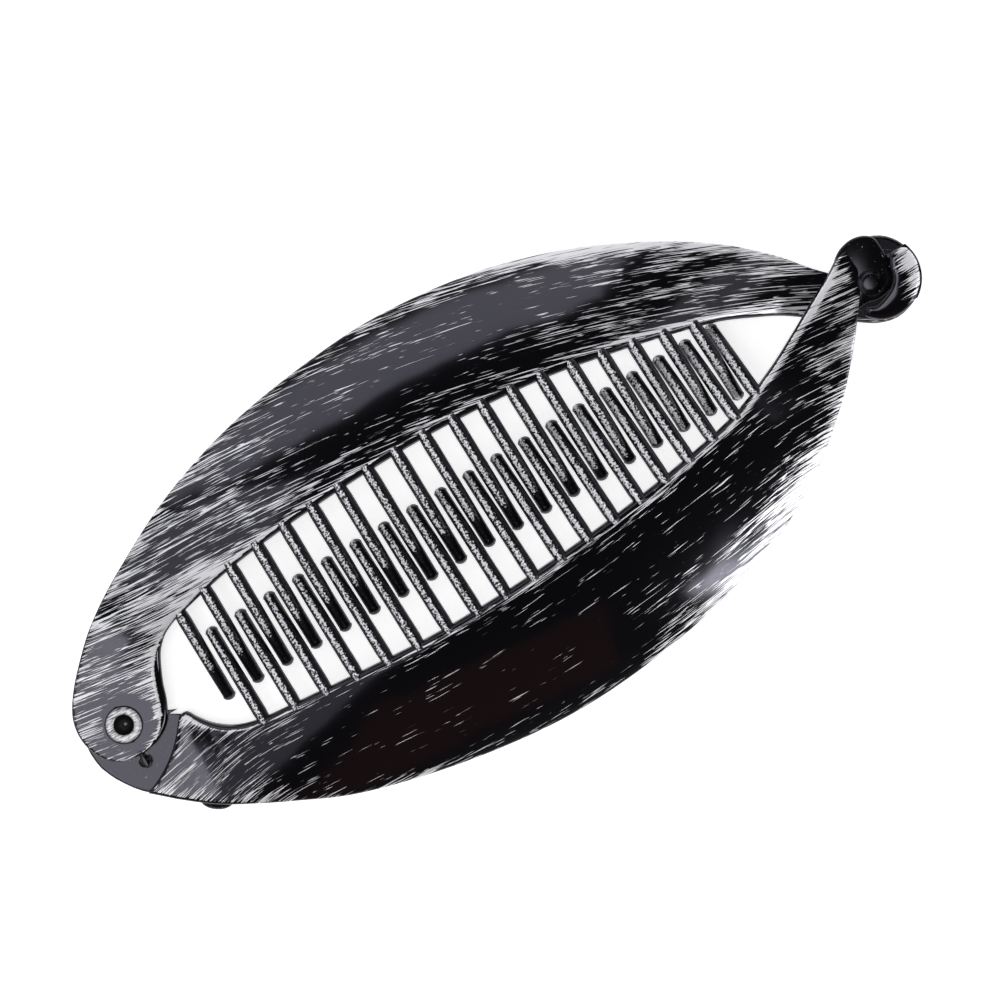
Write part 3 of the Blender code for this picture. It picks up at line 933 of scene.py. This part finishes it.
@dataclass(frozen=True)
class BrushedPlastic:
    """Injection-moulded gloss black plastic, dry-brushed along its length with silver paint.

    The eye sees a dark mirror with thin broken strokes, close together along the rims and at
    the ends. Strokes are 0.1 to 0.3 mm wide and 3 to 9 mm long. Paint shows where the sum of
    the layers and of a level, from thin to thick by the share of silver, passes nought.
    """

    black: str = "#08080B"
    silver: str = "#F2F2F5"
    gloss: float = 0.12
    paint: float = 0.42
    shine: float = 0.35
    waver: float = 0.12
    relief: float = 0.03
    ior: float = 1.49
    long_strokes: Stroke = Stroke(8.5, 0.19, 0.48, 0.0)
    fine_strokes: Stroke = Stroke(3.6, 0.12, 0.28, 31.0)
    broad_drifts: Stroke = Stroke(26.0, 3.2, 0.26, 67.0)
    single_hairs: Stroke = Stroke(11.0, 0.6, 0.10, 13.0, 0.4)
    thin: float = -0.26
    thick: float = 0.18

    def make(self) -> bpy.types.Material:
        """Build the nodes.

        Returns:
            The material, which reads the UV map strokes and the attribute silver.
        """
        made, tree = new_material("abs_gloss_black_silver_dry_brushed")
        place = add_node(tree, "ShaderNodeUVMap", {"uv_map": "strokes"}).outputs[0]
        share = add_node(tree, "ShaderNodeAttribute", {"attribute_name": "silver"}).outputs["Fac"]
        strokes = (self.long_strokes, self.fine_strokes, self.broad_drifts, self.single_hairs)
        noises = []
        for stroke in strokes:
            drawn = add_node(
                tree,
                "ShaderNodeMapping",
                {"vector_type": "POINT"},
                {
                    "Vector": place,
                    "Location": (stroke.start, stroke.start, 0.0),
                    "Scale": (1 / stroke.along, 1 / stroke.across, 1.0),
                },
            )
            noise = add_node(
                tree,
                "ShaderNodeTexNoise",
                {"noise_dimensions": "2D"},
                {"Vector": drawn.outputs[0], "Scale": 1.0, "Detail": 1.0, "Roughness": stroke.grain},
            )
            noises.append(noise.outputs[0])
        layers = []
        for stroke, noise in zip(strokes[:3], noises):
            centred = add_node(
                tree,
                "ShaderNodeMath",
                {"operation": "MULTIPLY_ADD"},
                {0: noise, 1: stroke.weight, 2: -stroke.weight / 2},
            )
            layers.append(centred.outputs[0])
        # Single hairs of the brush leave lines where their stretched noise is within 0.07 of
        # its middle, and lower the paint a little everywhere else.
        off = add_node(tree, "ShaderNodeMath", {"operation": "SUBTRACT"}, {0: noises[3], 1: 0.5})
        away = add_node(tree, "ShaderNodeMath", {"operation": "ABSOLUTE"}, {0: off.outputs[0]})
        hair = add_node(
            tree,
            "ShaderNodeMapRange",
            None,
            {
                "Value": away.outputs[0],
                "From Max": 0.07,
                "To Min": self.single_hairs.weight,
                "To Max": -0.02,
            },
        )
        level = add_node(
            tree,
            "ShaderNodeMapRange",
            None,
            {"Value": share, "To Min": self.thin, "To Max": self.thick},
        )
        # Paint begins just below nought and is full just above it, so strokes end softly.
        raised = hair.outputs[0]
        for part in (level.outputs[0], *layers):
            raised = add_node(
                tree, "ShaderNodeMath", {"operation": "ADD"}, {0: raised, 1: part}
            ).outputs[0]
        mask = add_node(
            tree,
            "ShaderNodeMapRange",
            {"interpolation_type": "SMOOTHSTEP"},
            {"Value": raised, "From Min": -0.02, "From Max": 0.035},
        ).outputs[0]
        colour = add_node(
            tree,
            "ShaderNodeMix",
            {"data_type": "RGBA"},
            {0: mask, 6: linear(self.black), 7: linear(self.silver)},
        )
        metal = add_node(
            tree, "ShaderNodeMath", {"operation": "MULTIPLY"}, {0: mask, 1: self.shine}
        )
        rough = add_node(
            tree,
            "ShaderNodeMapRange",
            None,
            {"Value": mask, "To Min": self.gloss, "To Max": self.paint},
        )
        # Moulded walls are never quite even: swells 9 mm long make reflections waver.
        body = add_node(tree, "ShaderNodeTexCoord").outputs["Object"]
        swell = add_node(
            tree, "ShaderNodeTexNoise", None, {"Vector": body, "Scale": 110.0, "Detail": 1.0}
        )
        waver = add_node(
            tree,
            "ShaderNodeBump",
            None,
            {"Height": swell.outputs[0], "Strength": 1.0, "Distance": self.waver * MM},
        )
        bump = add_node(
            tree,
            "ShaderNodeBump",
            None,
            {
                "Height": mask,
                "Strength": 0.35,
                "Distance": self.relief * MM,
                "Normal": waver.outputs[0],
            },
        )
        shader = add_node(
            tree,
            "ShaderNodeBsdfPrincipled",
            None,
            {
                "Base Color": colour.outputs[2],
                "Metallic": metal.outputs[0],
                "Roughness": rough.outputs[0],
                "IOR": self.ior,
                "Specular Tint": linear(VIOLET),
                "Normal": bump.outputs[0],
            },
        )
        add_node(tree, "ShaderNodeOutputMaterial", None, {"Surface": shader.outputs[0]})
        return made


@dataclass(frozen=True)
class BarePlastic:
    """The same moulding where the brush has not been: gloss black with a few silver specks."""

    black: str = "#09090B"
    speck: str = "#A9A9AD"
    gloss: float = 0.2
    ior: float = 1.49

    def make(self) -> bpy.types.Material:
        """Build the nodes.

        Returns:
            The material, which reads Object coordinates.
        """
        made, tree = new_material("abs_gloss_black_bare")
        place = add_node(tree, "ShaderNodeTexCoord").outputs["Object"]
        # Specks of paint about 0.2 mm across.
        speck = add_node(
            tree, "ShaderNodeTexNoise", None, {"Vector": place, "Scale": 2200.0, "Detail": 2.0}
        )
        mask = add_node(
            tree,
            "ShaderNodeMapRange",
            None,
            {"Value": speck.outputs[0], "From Min": 0.69, "From Max": 0.74},
        )
        colour = add_node(
            tree,
            "ShaderNodeMix",
            {"data_type": "RGBA"},
            {0: mask.outputs[0], 6: linear(self.black), 7: linear(self.speck)},
        )
        shader = add_node(
            tree,
            "ShaderNodeBsdfPrincipled",
            None,
            {
                "Base Color": colour.outputs[2],
                "Roughness": self.gloss,
                "IOR": self.ior,
                "Specular Tint": linear(VIOLET),
            },
        )
        add_node(tree, "ShaderNodeOutputMaterial", None, {"Surface": shader.outputs[0]})
        return made


@dataclass(frozen=True)
class SpeckledTeeth:
    """Black moulded teeth whose upper side caught the brush.

    The eye sees black rods with a band of silver beads 0.2 to 0.4 mm across on top, which
    fades out towards the free end where a tooth lies low. The band leans towards the lit side:
    partly the brush's own and partly painted light.
    """

    black: str = "#08080A"
    silver: str = "#F4F4F7"
    gloss: float = 0.22
    paint: float = 0.38
    shine: float = 0.3
    ior: float = 1.49

    def make(self) -> bpy.types.Material:
        """Build the nodes.

        Returns:
            The material, which reads Object coordinates and the attribute depth.
        """
        made, tree = new_material("abs_black_teeth_silver_speckled")
        place = add_node(tree, "ShaderNodeTexCoord").outputs["Object"]
        depth = add_node(tree, "ShaderNodeAttribute", {"attribute_name": "depth"}).outputs["Fac"]
        beads = add_node(
            tree, "ShaderNodeTexNoise", None, {"Vector": place, "Scale": 3200.0, "Detail": 3.0}
        )
        # Beads stand on a tooth's top and thin out down its sides. The depth is measured from a top
        # turned towards the lit side, so their place is partly painted light.
        high = add_node(
            tree,
            "ShaderNodeMapRange",
            None,
            {"Value": depth, "From Min": 0.02, "From Max": 0.27, "To Min": 0.1, "To Max": -0.3},
        )
        # The brush took more on the teeth towards the clasp.
        along = add_node(tree, "ShaderNodeSeparateXYZ", None, {0: place}).outputs["X"]
        more = add_node(
            tree,
            "ShaderNodeMapRange",
            None,
            {"Value": along, "From Min": -0.01, "From Max": 0.035, "To Max": 0.05},
        )
        raised = add_node(
            tree, "ShaderNodeMath", {"operation": "ADD"}, {0: beads.outputs[0], 1: high.outputs[0]}
        )
        raised = add_node(
            tree, "ShaderNodeMath", {"operation": "ADD"}, {0: raised.outputs[0], 1: more.outputs[0]}
        )
        mask = add_node(
            tree,
            "ShaderNodeMapRange",
            None,
            {"Value": raised.outputs[0], "From Min": 0.51, "From Max": 0.62},
        ).outputs[0]
        colour = add_node(
            tree,
            "ShaderNodeMix",
            {"data_type": "RGBA"},
            {0: mask, 6: linear(self.black), 7: linear(self.silver)},
        )
        metal = add_node(tree, "ShaderNodeMath", {"operation": "MULTIPLY"}, {0: mask, 1: self.shine})
        rough = add_node(
            tree,
            "ShaderNodeMapRange",
            None,
            {"Value": mask, "To Min": self.gloss, "To Max": self.paint},
        )
        bump = add_node(
            tree,
            "ShaderNodeBump",
            None,
            {"Height": beads.outputs[0], "Strength": 0.8, "Distance": 0.1 * MM},
        )
        shader = add_node(
            tree,
            "ShaderNodeBsdfPrincipled",
            None,
            {
                "Base Color": colour.outputs[2],
                "Metallic": metal.outputs[0],
                "Roughness": rough.outputs[0],
                "IOR": self.ior,
                "Specular Tint": linear(VIOLET),
                "Normal": bump.outputs[0],
            },
        )
        add_node(tree, "ShaderNodeOutputMaterial", None, {"Surface": shader.outputs[0]})
        return made


@dataclass(frozen=True)
class BrushedEyelet:
    """A steel eyelet lacquered black, its head dry-brushed with silver paint.

    The eye sees a ring of silver scratches with a black outline and a black hole. The outline is
    partly bare lacquer and partly painted shade on the head's rounded edge.
    """

    silver: str = "#E6E6EA"
    black: str = "#070709"
    lacquer: float = 0.2
    paint: float = 0.4
    shine: float = 0.4

    def make(self) -> bpy.types.Material:
        """Build the nodes.

        Returns:
            The material, which reads Object coordinates and the attribute depth.
        """
        made, tree = new_material("steel_black_lacquer_silver_brushed")
        place = add_node(tree, "ShaderNodeTexCoord").outputs["Object"]
        centred = add_node(
            tree,
            "ShaderNodeMapping",
            {"vector_type": "POINT"},
            {"Vector": place, "Location": tuple((-PIVOT * MM).tolist())},
        )
        # Brushed scratches, about 0.15 mm wide, along the clip's own strokes.
        drawn = add_node(
            tree,
            "ShaderNodeMapping",
            {"vector_type": "POINT"},
            {"Vector": centred.outputs[0], "Scale": (700.0, 5200.0, 900.0)},
        )
        wear = add_node(
            tree,
            "ShaderNodeTexNoise",
            None,
            {"Vector": drawn.outputs[0], "Scale": 1.0, "Detail": 3.0},
        )
        worn = add_node(
            tree,
            "ShaderNodeMapRange",
            None,
            {"Value": wear.outputs[0], "From Min": 0.34, "From Max": 0.58},
        )
        # The paint stops just below the head's top, all round and in the hole. The black left on the
        # rounded edge is partly bare lacquer and partly painted shade.
        depth = add_node(tree, "ShaderNodeAttribute", {"attribute_name": "depth"}).outputs["Fac"]
        reach = add_node(
            tree,
            "ShaderNodeMapRange",
            None,
            {"Value": depth, "From Min": 0.06, "From Max": 0.17, "To Min": 1.0, "To Max": 0.0},
        )
        mask = add_node(
            tree,
            "ShaderNodeMath",
            {"operation": "MULTIPLY"},
            {0: worn.outputs[0], 1: reach.outputs[0]},
        ).outputs[0]
        metal = add_node(tree, "ShaderNodeMath", {"operation": "MULTIPLY"}, {0: mask, 1: self.shine})
        colour = add_node(
            tree,
            "ShaderNodeMix",
            {"data_type": "RGBA"},
            {0: mask, 6: linear(self.black), 7: linear(self.silver)},
        )
        rough = add_node(
            tree,
            "ShaderNodeMapRange",
            None,
            {"Value": mask, "To Min": self.lacquer, "To Max": self.paint},
        )
        shader = add_node(
            tree,
            "ShaderNodeBsdfPrincipled",
            None,
            {
                "Base Color": colour.outputs[2],
                "Metallic": metal.outputs[0],
                "Roughness": rough.outputs[0],
            },
        )
        add_node(tree, "ShaderNodeOutputMaterial", None, {"Surface": shader.outputs[0]})
        return made


@dataclass
class Finishes:
    """The clip's four materials, made once."""

    brushed: bpy.types.Material = field(default_factory=lambda: BrushedPlastic().make())
    bare: bpy.types.Material = field(default_factory=lambda: BarePlastic().make())
    teeth: bpy.types.Material = field(default_factory=lambda: SpeckledTeeth().make())
    steel: bpy.types.Material = field(default_factory=lambda: BrushedEyelet().make())


def arc(radius: float, start: float, stop: float, steps: int) -> np.ndarray:
    """Points at equal angles on an arc round the origin, in degrees from start to stop."""
    angle = np.radians(np.linspace(start, stop, steps + 1))
    return radius * np.stack([np.cos(angle), np.sin(angle)], axis=1)


def drill(made: bpy.types.Object, radius: float) -> None:
    """Bore the rivet's hole through a piece, upright on the rivet's axis.

    Args:
        made: the piece, which is closed.
        radius: the hole's radius in millimetres.
    """
    low, high = BORE_SPAN
    skin = merge(TurnedPiece([(0.0, low), (radius, low), (radius, high), (0.0, high)]).patches())
    mesh = bpy.data.meshes.new("bore")
    mesh.from_pydata(((skin.points + PIVOT) * MM).tolist(), [], skin.faces)
    work = bmesh.new()
    work.from_mesh(mesh)
    bmesh.ops.recalc_face_normals(work, faces=work.faces)
    work.to_mesh(mesh)
    work.free()
    cutter = bpy.data.objects.new("bore", mesh)
    bpy.context.scene.collection.objects.link(cutter)
    step = made.modifiers.new("bore", "BOOLEAN")
    step.operation = "DIFFERENCE"
    step.object = cutter
    step.solver = "EXACT"
    bpy.context.view_layer.update()
    graph = bpy.context.evaluated_depsgraph_get()
    made.data = bpy.data.meshes.new_from_object(made.evaluated_get(graph))
    made.modifiers.clear()
    bpy.data.objects.remove(cutter)


@dataclass
class UpperHalf:
    """The half with the ear over the rivet and the hook round the clasp.

    The inner_rims are the widths of the blade's rounded inner rim by number of row.
    """

    finishes: Finishes
    bore: float = 2.45
    bare_ring: tuple[float, float, float] = (0.9, 0.1, 3.6)
    lug_wide: float = 2.2
    lug_reach: float = 7.7
    lug_top: float = 3.8
    clasp: tuple[float, float] = (136.4, 0.3)
    clasp_radius: float = 6.82
    riser_reach: float = 139.8
    riser_top: float = 5.0
    hook_stop: float = 22.0
    inner_rims: tuple[tuple[float, float], ...] = (
        (0.0, 0.7),
        (1.0, 1.3),
        (2.0, 1.8),
        (5.0, 1.8),
        (7.0, 0.7),
        (9.0, 0.7),
        (11.0, 1.05),
        (17.0, 1.0),
        (19.0, 0.6),
    )

    def build(self) -> None:
        """Build and dress every piece of this half."""
        dress = Dress(UPPER_LEAN, UPPER_COVER, UPPER_RIM, self.bare_ring)
        blade = make_piece(
            "upper_blade",
            RuledShell(UPPER_ROWS, inner_rims=self.inner_rims, inner_fall=1.0).patches(),
            self.finishes.brushed,
            Body.UPPER,
            dress,
        )
        drill(blade, self.bore)
        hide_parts("upper_half")
        tongue = RuledShell(
            TONGUE_ROWS, wall=1.75, straight=0.3, crown=0.25, rim=0.7, spacing=0.4, columns=14
        )
        tongue_dress = Dress(TONGUE_LEAN, TONGUE_COVER, TONGUE_RIM)
        teeth = Teeth(UPPER_ROWS, UPPER_COMB, bare_tip=5.0)
        for name, shape, finish, worn in (
            ("hook_tongue", tongue, self.finishes.brushed, tongue_dress),
            ("hook_wall", self.riser(), self.finishes.brushed, dress),
            ("upper_teeth", teeth, self.finishes.teeth, None),
            ("stop_lug", self.lug(), self.finishes.bare, None),
        ):
            make_piece(name, shape.patches(), finish, Body.UPPER, worn)

    def lug(self) -> RuledShell:
        """Shape the lug under the ear: a narrow neck with a wider, rounded end.

        Returns:
            The lug's shell.
        """
        side = self.lug_wide / 2
        profile = ((-3.6, 0.5), (-5.7, 0.5), (-6.1, 1.0), (-7.0, 1.0), (-self.lug_reach, 0.4))
        rows = tuple(
            Row(-side * wide, y, side * wide, y, self.lug_top, self.lug_top) for y, wide in profile
        )
        return RuledShell(rows, wall=1.1, crown=0.45, rim=0.2, foot=0.15, spacing=0.3, columns=10)

    def riser(self) -> RuledShell:
        """Shape the hook's upright wall, between the clasp's circle and an arc round the rivet.

        Returns:
            The wall's shell.
        """
        half = math.degrees(math.acos((self.riser_reach - self.clasp[0]) / self.clasp_radius))
        # It starts a little past the place where the two curves meet and leave no wall.
        turns = np.linspace(-half * 0.94, self.hook_stop, 15)
        rows = []
        for turn in turns:
            x = self.clasp[0] + self.clasp_radius * math.cos(math.radians(turn))
            y = self.clasp[1] + self.clasp_radius * math.sin(math.radians(turn))
            inner = math.sqrt(self.riser_reach**2 - y * y)
            rows.append(Row(inner, y, x, y, self.riser_top, self.riser_top))
        return RuledShell(
            tuple(rows), wall=4.95, straight=1.0, rim=0.1, foot=0.1, spacing=0.4, columns=6
        )


@dataclass
class LowerHalf:
    """The half with the hinge plate, the step round the ear and the round head.

    The inner_rims are the widths of the blade's rounded inner rim by number of row.
    """

    finishes: Finishes
    bore: float = 2.45
    plate_radius: float = 6.8
    head: tuple[float, float] = (135.1, 1.8)
    head_reach: float = 139.4
    button: tuple[float, float] = (135.1, 0.3)
    nub: tuple[float, float] = (6.4, -17.6)
    nub_half_sizes: tuple[float, float] = (2.5, 1.3)
    nub_turn: float = -34.0
    inner_rims: tuple[tuple[float, float], ...] = ((0.0, 0.7), (3.0, 1.0), (12.0, 1.0), (18.0, 0.6))

    def build(self) -> None:
        """Build and dress every piece of this half."""
        dress = Dress(LOWER_LEAN, LOWER_COVER, LOWER_RIM)
        blade = make_piece(
            "lower_blade",
            RuledShell(LOWER_ROWS, inner_rims=self.inner_rims, inner_fall=1.0).patches(),
            self.finishes.brushed,
            Body.LOWER,
            dress,
        )
        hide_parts("lower_half")
        teeth = Teeth(LOWER_ROWS, LOWER_COMB)
        plate = RoundShell((0.0, 0.0), self.plate_outline(), LOWEST, PLATE_TOP, self.bore, 0.3)
        step_rows = tuple(
            Row(a[0], a[1], b[0], b[1], STEP_TOP - 1.0, STEP_TOP - 1.0) for a, b in self.step_edges()
        )
        step = RuledShell(
            step_rows, wall=3.85, straight=1.0, rim=0.15, foot=0.15, spacing=0.5, columns=8
        )
        head = RoundShell(self.head, self.head_outline(), 2.2, 4.1, dome=0.55)
        knob = TurnedPiece(self.button_profile(), self.button, 64)
        nub = RoundShell(self.nub, self.nub_outline(), LOWEST, 3.6, sides=64, dome=0.6)
        for name, shape, finish in (
            ("lower_teeth", teeth, self.finishes.teeth),
            ("hinge_plate", plate, self.finishes.bare),
            ("step_block", step, self.finishes.bare),
            ("round_head", head, self.finishes.bare),
            ("head_button", knob, self.finishes.bare),
            ("rim_nub", nub, self.finishes.bare),
        ):
            make_piece(name, shape.patches(), finish, Body.LOWER)

    def plate_outline(self) -> np.ndarray:
        """Draw the floor round the rivet, which reaches under the blade.

        Returns:
            Points of the outline: an arc round the rivet, then the edge under the blade.
        """
        under = [
            (-6.9, -1.3),
            (-6.8, -2.7),
            (-6.6, -4.0),
            (-6.1, -5.3),
            (-5.5, -6.6),
            (-4.7, -7.9),
            (-3.8, -9.2),
            (-2.8, -10.4),
            (-1.8, -11.3),
            (0.6, -12.0),
            (3.6, -11.0),
            (6.4, -8.6),
            (8.4, -6.2),
            (9.6, -3.9),
            (8.4, -1.6),
        ]
        return np.vstack([arc(self.plate_radius, -20.0, 180.0, 60), under])

    def step_edges(self) -> list[tuple[np.ndarray, np.ndarray]]:
        """Place the step that carries the blade's end.

        Returns:
            Pairs of points, on the step's front and on its back.
        """
        front, back = through_rows(np.array(LOWER_ROWS), np.array([0.0, 2.0]))
        pairs = []
        for share in np.linspace(0.03, 0.97, 13):
            ends = []
            for row in (front, back):
                chord = row[2:4] - row[0:2]
                side = np.array([-chord[1], chord[0]]) / np.linalg.norm(chord)
                ends.append(row[0:2] + chord * share + side * row[6] * 4 * share * (1 - share))
            near = ends[0] + (ends[1] - ends[0]) * 0.08
            pairs.append((near, ends[1]))
        return pairs

    def head_outline(self) -> np.ndarray:
        """Draw the round head, cut off where the hook's wall passes.

        Returns:
            Points of the outline.
        """
        rows = [
            (self.head_reach, 3.6),
            (139.3, 5.1),
            (139.0, 6.2),
            (138.2, 7.0),
            (137.1, 7.5),
            (135.8, 7.7),
            (134.4, 7.5),
            (133.1, 7.0),
            (131.9, 6.1),
            (130.9, 5.1),
            (129.6, 3.9),
            (129.3, 2.4),
            (130.5, -0.9),
            (131.5, -2.2),
            (133.2, -2.2),
            (135.0, -2.6),
            (137.2, -2.2),
            (139.2, -1.0),
            (self.head_reach, 1.2),
        ]
        table = np.array(rows + rows[:1])
        return through_rows(table, np.linspace(0, len(rows), 120, endpoint=False))

    @staticmethod
    def button_profile() -> list[tuple[float, float]]:
        """Draw the button and the low step that it stands on.

        Returns:
            The half outline, as radii and heights.
        """
        return [
            (0.0, 3.3),
            (2.1, 3.3),
            (2.1, 4.22),
            (2.02, 4.3),
            (1.5, 4.26),
            (1.45, 4.34),
            (1.3, 4.41),
            (1.0, 4.46),
            (0.6, 4.49),
            (0.0, 4.5),
        ]

    def nub_outline(self) -> np.ndarray:
        """Draw the oval nub under the outer rim: a stretched circle, turned.

        Returns:
            Points of the outline.
        """
        oval = arc(1.0, 0.0, 360.0, 48)[:-1] * self.nub_half_sizes
        cos, sin = math.cos(math.radians(self.nub_turn)), math.sin(math.radians(self.nub_turn))
        return oval @ np.array([[cos, sin], [-sin, cos]]) + self.nub


@dataclass
class Rivet:
    """The hollow rivet that joins the two halves, with its crown and its mouth rounded."""

    finishes: Finishes
    hole: float = 1.55
    shank: float = 2.15
    head: float = 3.0
    floor: float = 1.0
    top: float = 5.5
    under: float = 4.9
    foot: float = 0.7
    sole: float = 0.1
    crown: float = 0.6
    mouth: float = 0.3

    def build(self) -> None:
        """Build and dress the rivet."""
        made = make_piece(
            "rivet",
            TurnedPiece(self.profile()).patches(),
            self.finishes.steel,
            Body.LOWER,
        )
        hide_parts("hinge_rivet")

    def profile(self) -> list[tuple[float, float]]:
        """Draw the rivet, from the hole's floor up, over the head and down to the foot.

        Returns:
            The half outline, as radii and heights.
        """
        crown = [
            (self.head + self.crown * (math.cos(a) - 1), self.top - self.crown * (1 - math.sin(a)))
            for a in np.linspace(math.pi / 2, 0, 9)
        ]
        mouth = [
            (self.hole + self.mouth * (1 - math.cos(a)), self.top - self.mouth * (1 - math.sin(a)))
            for a in np.linspace(0, math.pi / 2, 6)
        ]
        foot = [
            (self.head, self.under),
            (self.shank, self.under),
            (self.shank, self.foot),
            (self.head, self.foot),
            (self.head, self.sole + 0.2),
            (self.head - 0.2, self.sole),
            (0.0, self.sole),
        ]
        return [(0.0, self.floor), (self.hole, self.floor)] + mouth + crown + foot


class SoftBox(NamedTuple):
    """A lamp that faces the clip: its middle and sizes in metres, its brightness and its colour."""

    name: str
    place: tuple[float, float, float]
    size: tuple[float, float]
    radiance: float
    tint: str


# In the gloss the overhead lamp shows on the flats, far_side and far_left on the far blade's
# slope, near_right as the white patch on the near rim, near_left beside the hinge and near_brown
# as the warm glow on the near blade. The last one lights the clasp.
SOFT_BOXES = (
    SoftBox("overhead", (-0.42, 0.0, 2.6), (1.0, 1.05), 4.2, "#FFFFFF"),
    SoftBox("far_side", (0.1, 1.5, 0.85), (2.5, 0.62), 2.1, "#FAFAFF"),
    SoftBox("near_right", (1.15, -1.3, 0.74), (1.1, 0.42), 11.0, "#FFFFFF"),
    SoftBox("far_left", (-1.5, 0.8, 1.2), (1.3, 1.1), 1.4, "#FAFAFF"),
    SoftBox("near_left", (-1.14, -0.3, 1.68), (0.9, 1.6), 0.8, "#FAFAFF"),
    SoftBox("near_brown", (-0.45, -1.35, 1.05), (1.5, 0.7), 0.32, "#C07860"),
    SoftBox("right", (2.3, 0.1, 1.3), (1.2, 1.2), 1.0, "#FFFFFF"),
)


@dataclass
class Studio:
    """Floor, lights and camera: a pale table under soft boxes, seen from straight above.

    The lens and the sensor's width are millimetres. It sees view_width mm of the clip at the
    height focus_height, and is turned by turn degrees.
    """

    turn: float = 30.5
    lens: float = 300.0
    sensor: float = 36.0
    view_width: float = 154.95
    focus_height: float = 10.0

    def build(self) -> None:
        """Set the stage."""
        scene = bpy.context.scene
        scene.view_settings.view_transform = "Standard"
        self.world(scene)
        self.table()
        for box in SOFT_BOXES:
            self.hang(box)
        self.camera(scene)

    def world(self, scene: bpy.types.Scene) -> None:
        """Light a dark room with pale walls: brightness falls from the horizon to the zenith.

        Args:
            scene: the scene that gets the world.
        """
        made = bpy.data.worlds.new("studio")
        scene.world = made
        made.use_nodes = True
        tree = made.node_tree
        tree.nodes.clear()
        way = add_node(tree, "ShaderNodeTexCoord").outputs["Generated"]
        height = add_node(tree, "ShaderNodeSeparateXYZ", None, {0: way}).outputs["Z"]
        wall = add_node(
            tree,
            "ShaderNodeMapRange",
            {"interpolation_type": "SMOOTHSTEP"},
            {"Value": height, "From Min": 0.1, "From Max": 0.45, "To Min": 0.35, "To Max": 0.04},
        )
        light = add_node(
            tree,
            "ShaderNodeBackground",
            None,
            {"Color": linear("#FFFFFF"), "Strength": wall.outputs[0]},
        )
        add_node(tree, "ShaderNodeOutputWorld", None, {"Surface": light.outputs[0]})

    def table(self) -> None:
        """Set up a wide white table top."""
        mesh = bpy.data.meshes.new("table_top")
        mesh.from_pydata([(-8, -8, 0), (8, -8, 0), (8, 8, 0), (-8, 8, 0)], [], [(0, 1, 2, 3)])
        made, tree = new_material("painted_white_table")
        shader = add_node(
            tree,
            "ShaderNodeBsdfPrincipled",
            None,
            {
                "Base Color": linear("#F4F4F4"),
                "Roughness": 0.7,
                "Emission Color": linear("#FFFFFF"),
                "Emission Strength": 0.75,
            },
        )
        add_node(tree, "ShaderNodeOutputMaterial", None, {"Surface": shader.outputs[0]})
        mesh.materials.append(made)
        table = bpy.data.objects.new("table_top", mesh)
        bpy.context.scene.collection.objects.link(table)

    def hang(self, box: SoftBox) -> None:
        """Hang a soft box. Its power is its radiance times pi times its area.

        Args:
            box: the lamp's place, size and light.
        """
        lamp = bpy.data.lights.new(box.name, "AREA")
        lamp.shape = "RECTANGLE"
        lamp.size, lamp.size_y = box.size
        lamp.energy = box.radiance * math.pi * box.size[0] * box.size[1]
        lamp.color = linear(box.tint)[:3]
        made = bpy.data.objects.new(box.name, lamp)
        made.location = box.place
        made.rotation_euler = (-made.location).to_track_quat("-Z", "Y").to_euler()
        made.visible_camera = False
        bpy.context.scene.collection.objects.link(made)

    def camera(self, scene: bpy.types.Scene) -> None:
        """Hang a long lens straight above, turned so that the clip rises to the right.

        Args:
            scene: the scene that gets the camera.
        """
        lens = bpy.data.cameras.new("camera")
        lens.lens = self.lens
        lens.sensor_width = self.sensor
        lens.clip_end = 20.0
        made = bpy.data.objects.new("camera", lens)
        distance = self.lens * self.view_width / self.sensor + self.focus_height
        made.location = (0.0, 0.0, distance * MM)
        made.rotation_euler = (0.0, 0.0, -math.radians(self.turn))
        scene.collection.objects.link(made)
        scene.camera = made


def main() -> None:
    """Build the clip's pieces and the studio."""
    logging.basicConfig(level=logging.INFO, format="%(name)s: %(message)s")
    finishes = Finishes()
    LowerHalf(finishes).build()
    UpperHalf(finishes).build()
    Rivet(finishes).build()
    Studio().build()
    LOG.info("boxes written")


if __name__ == "__main__":
    main()
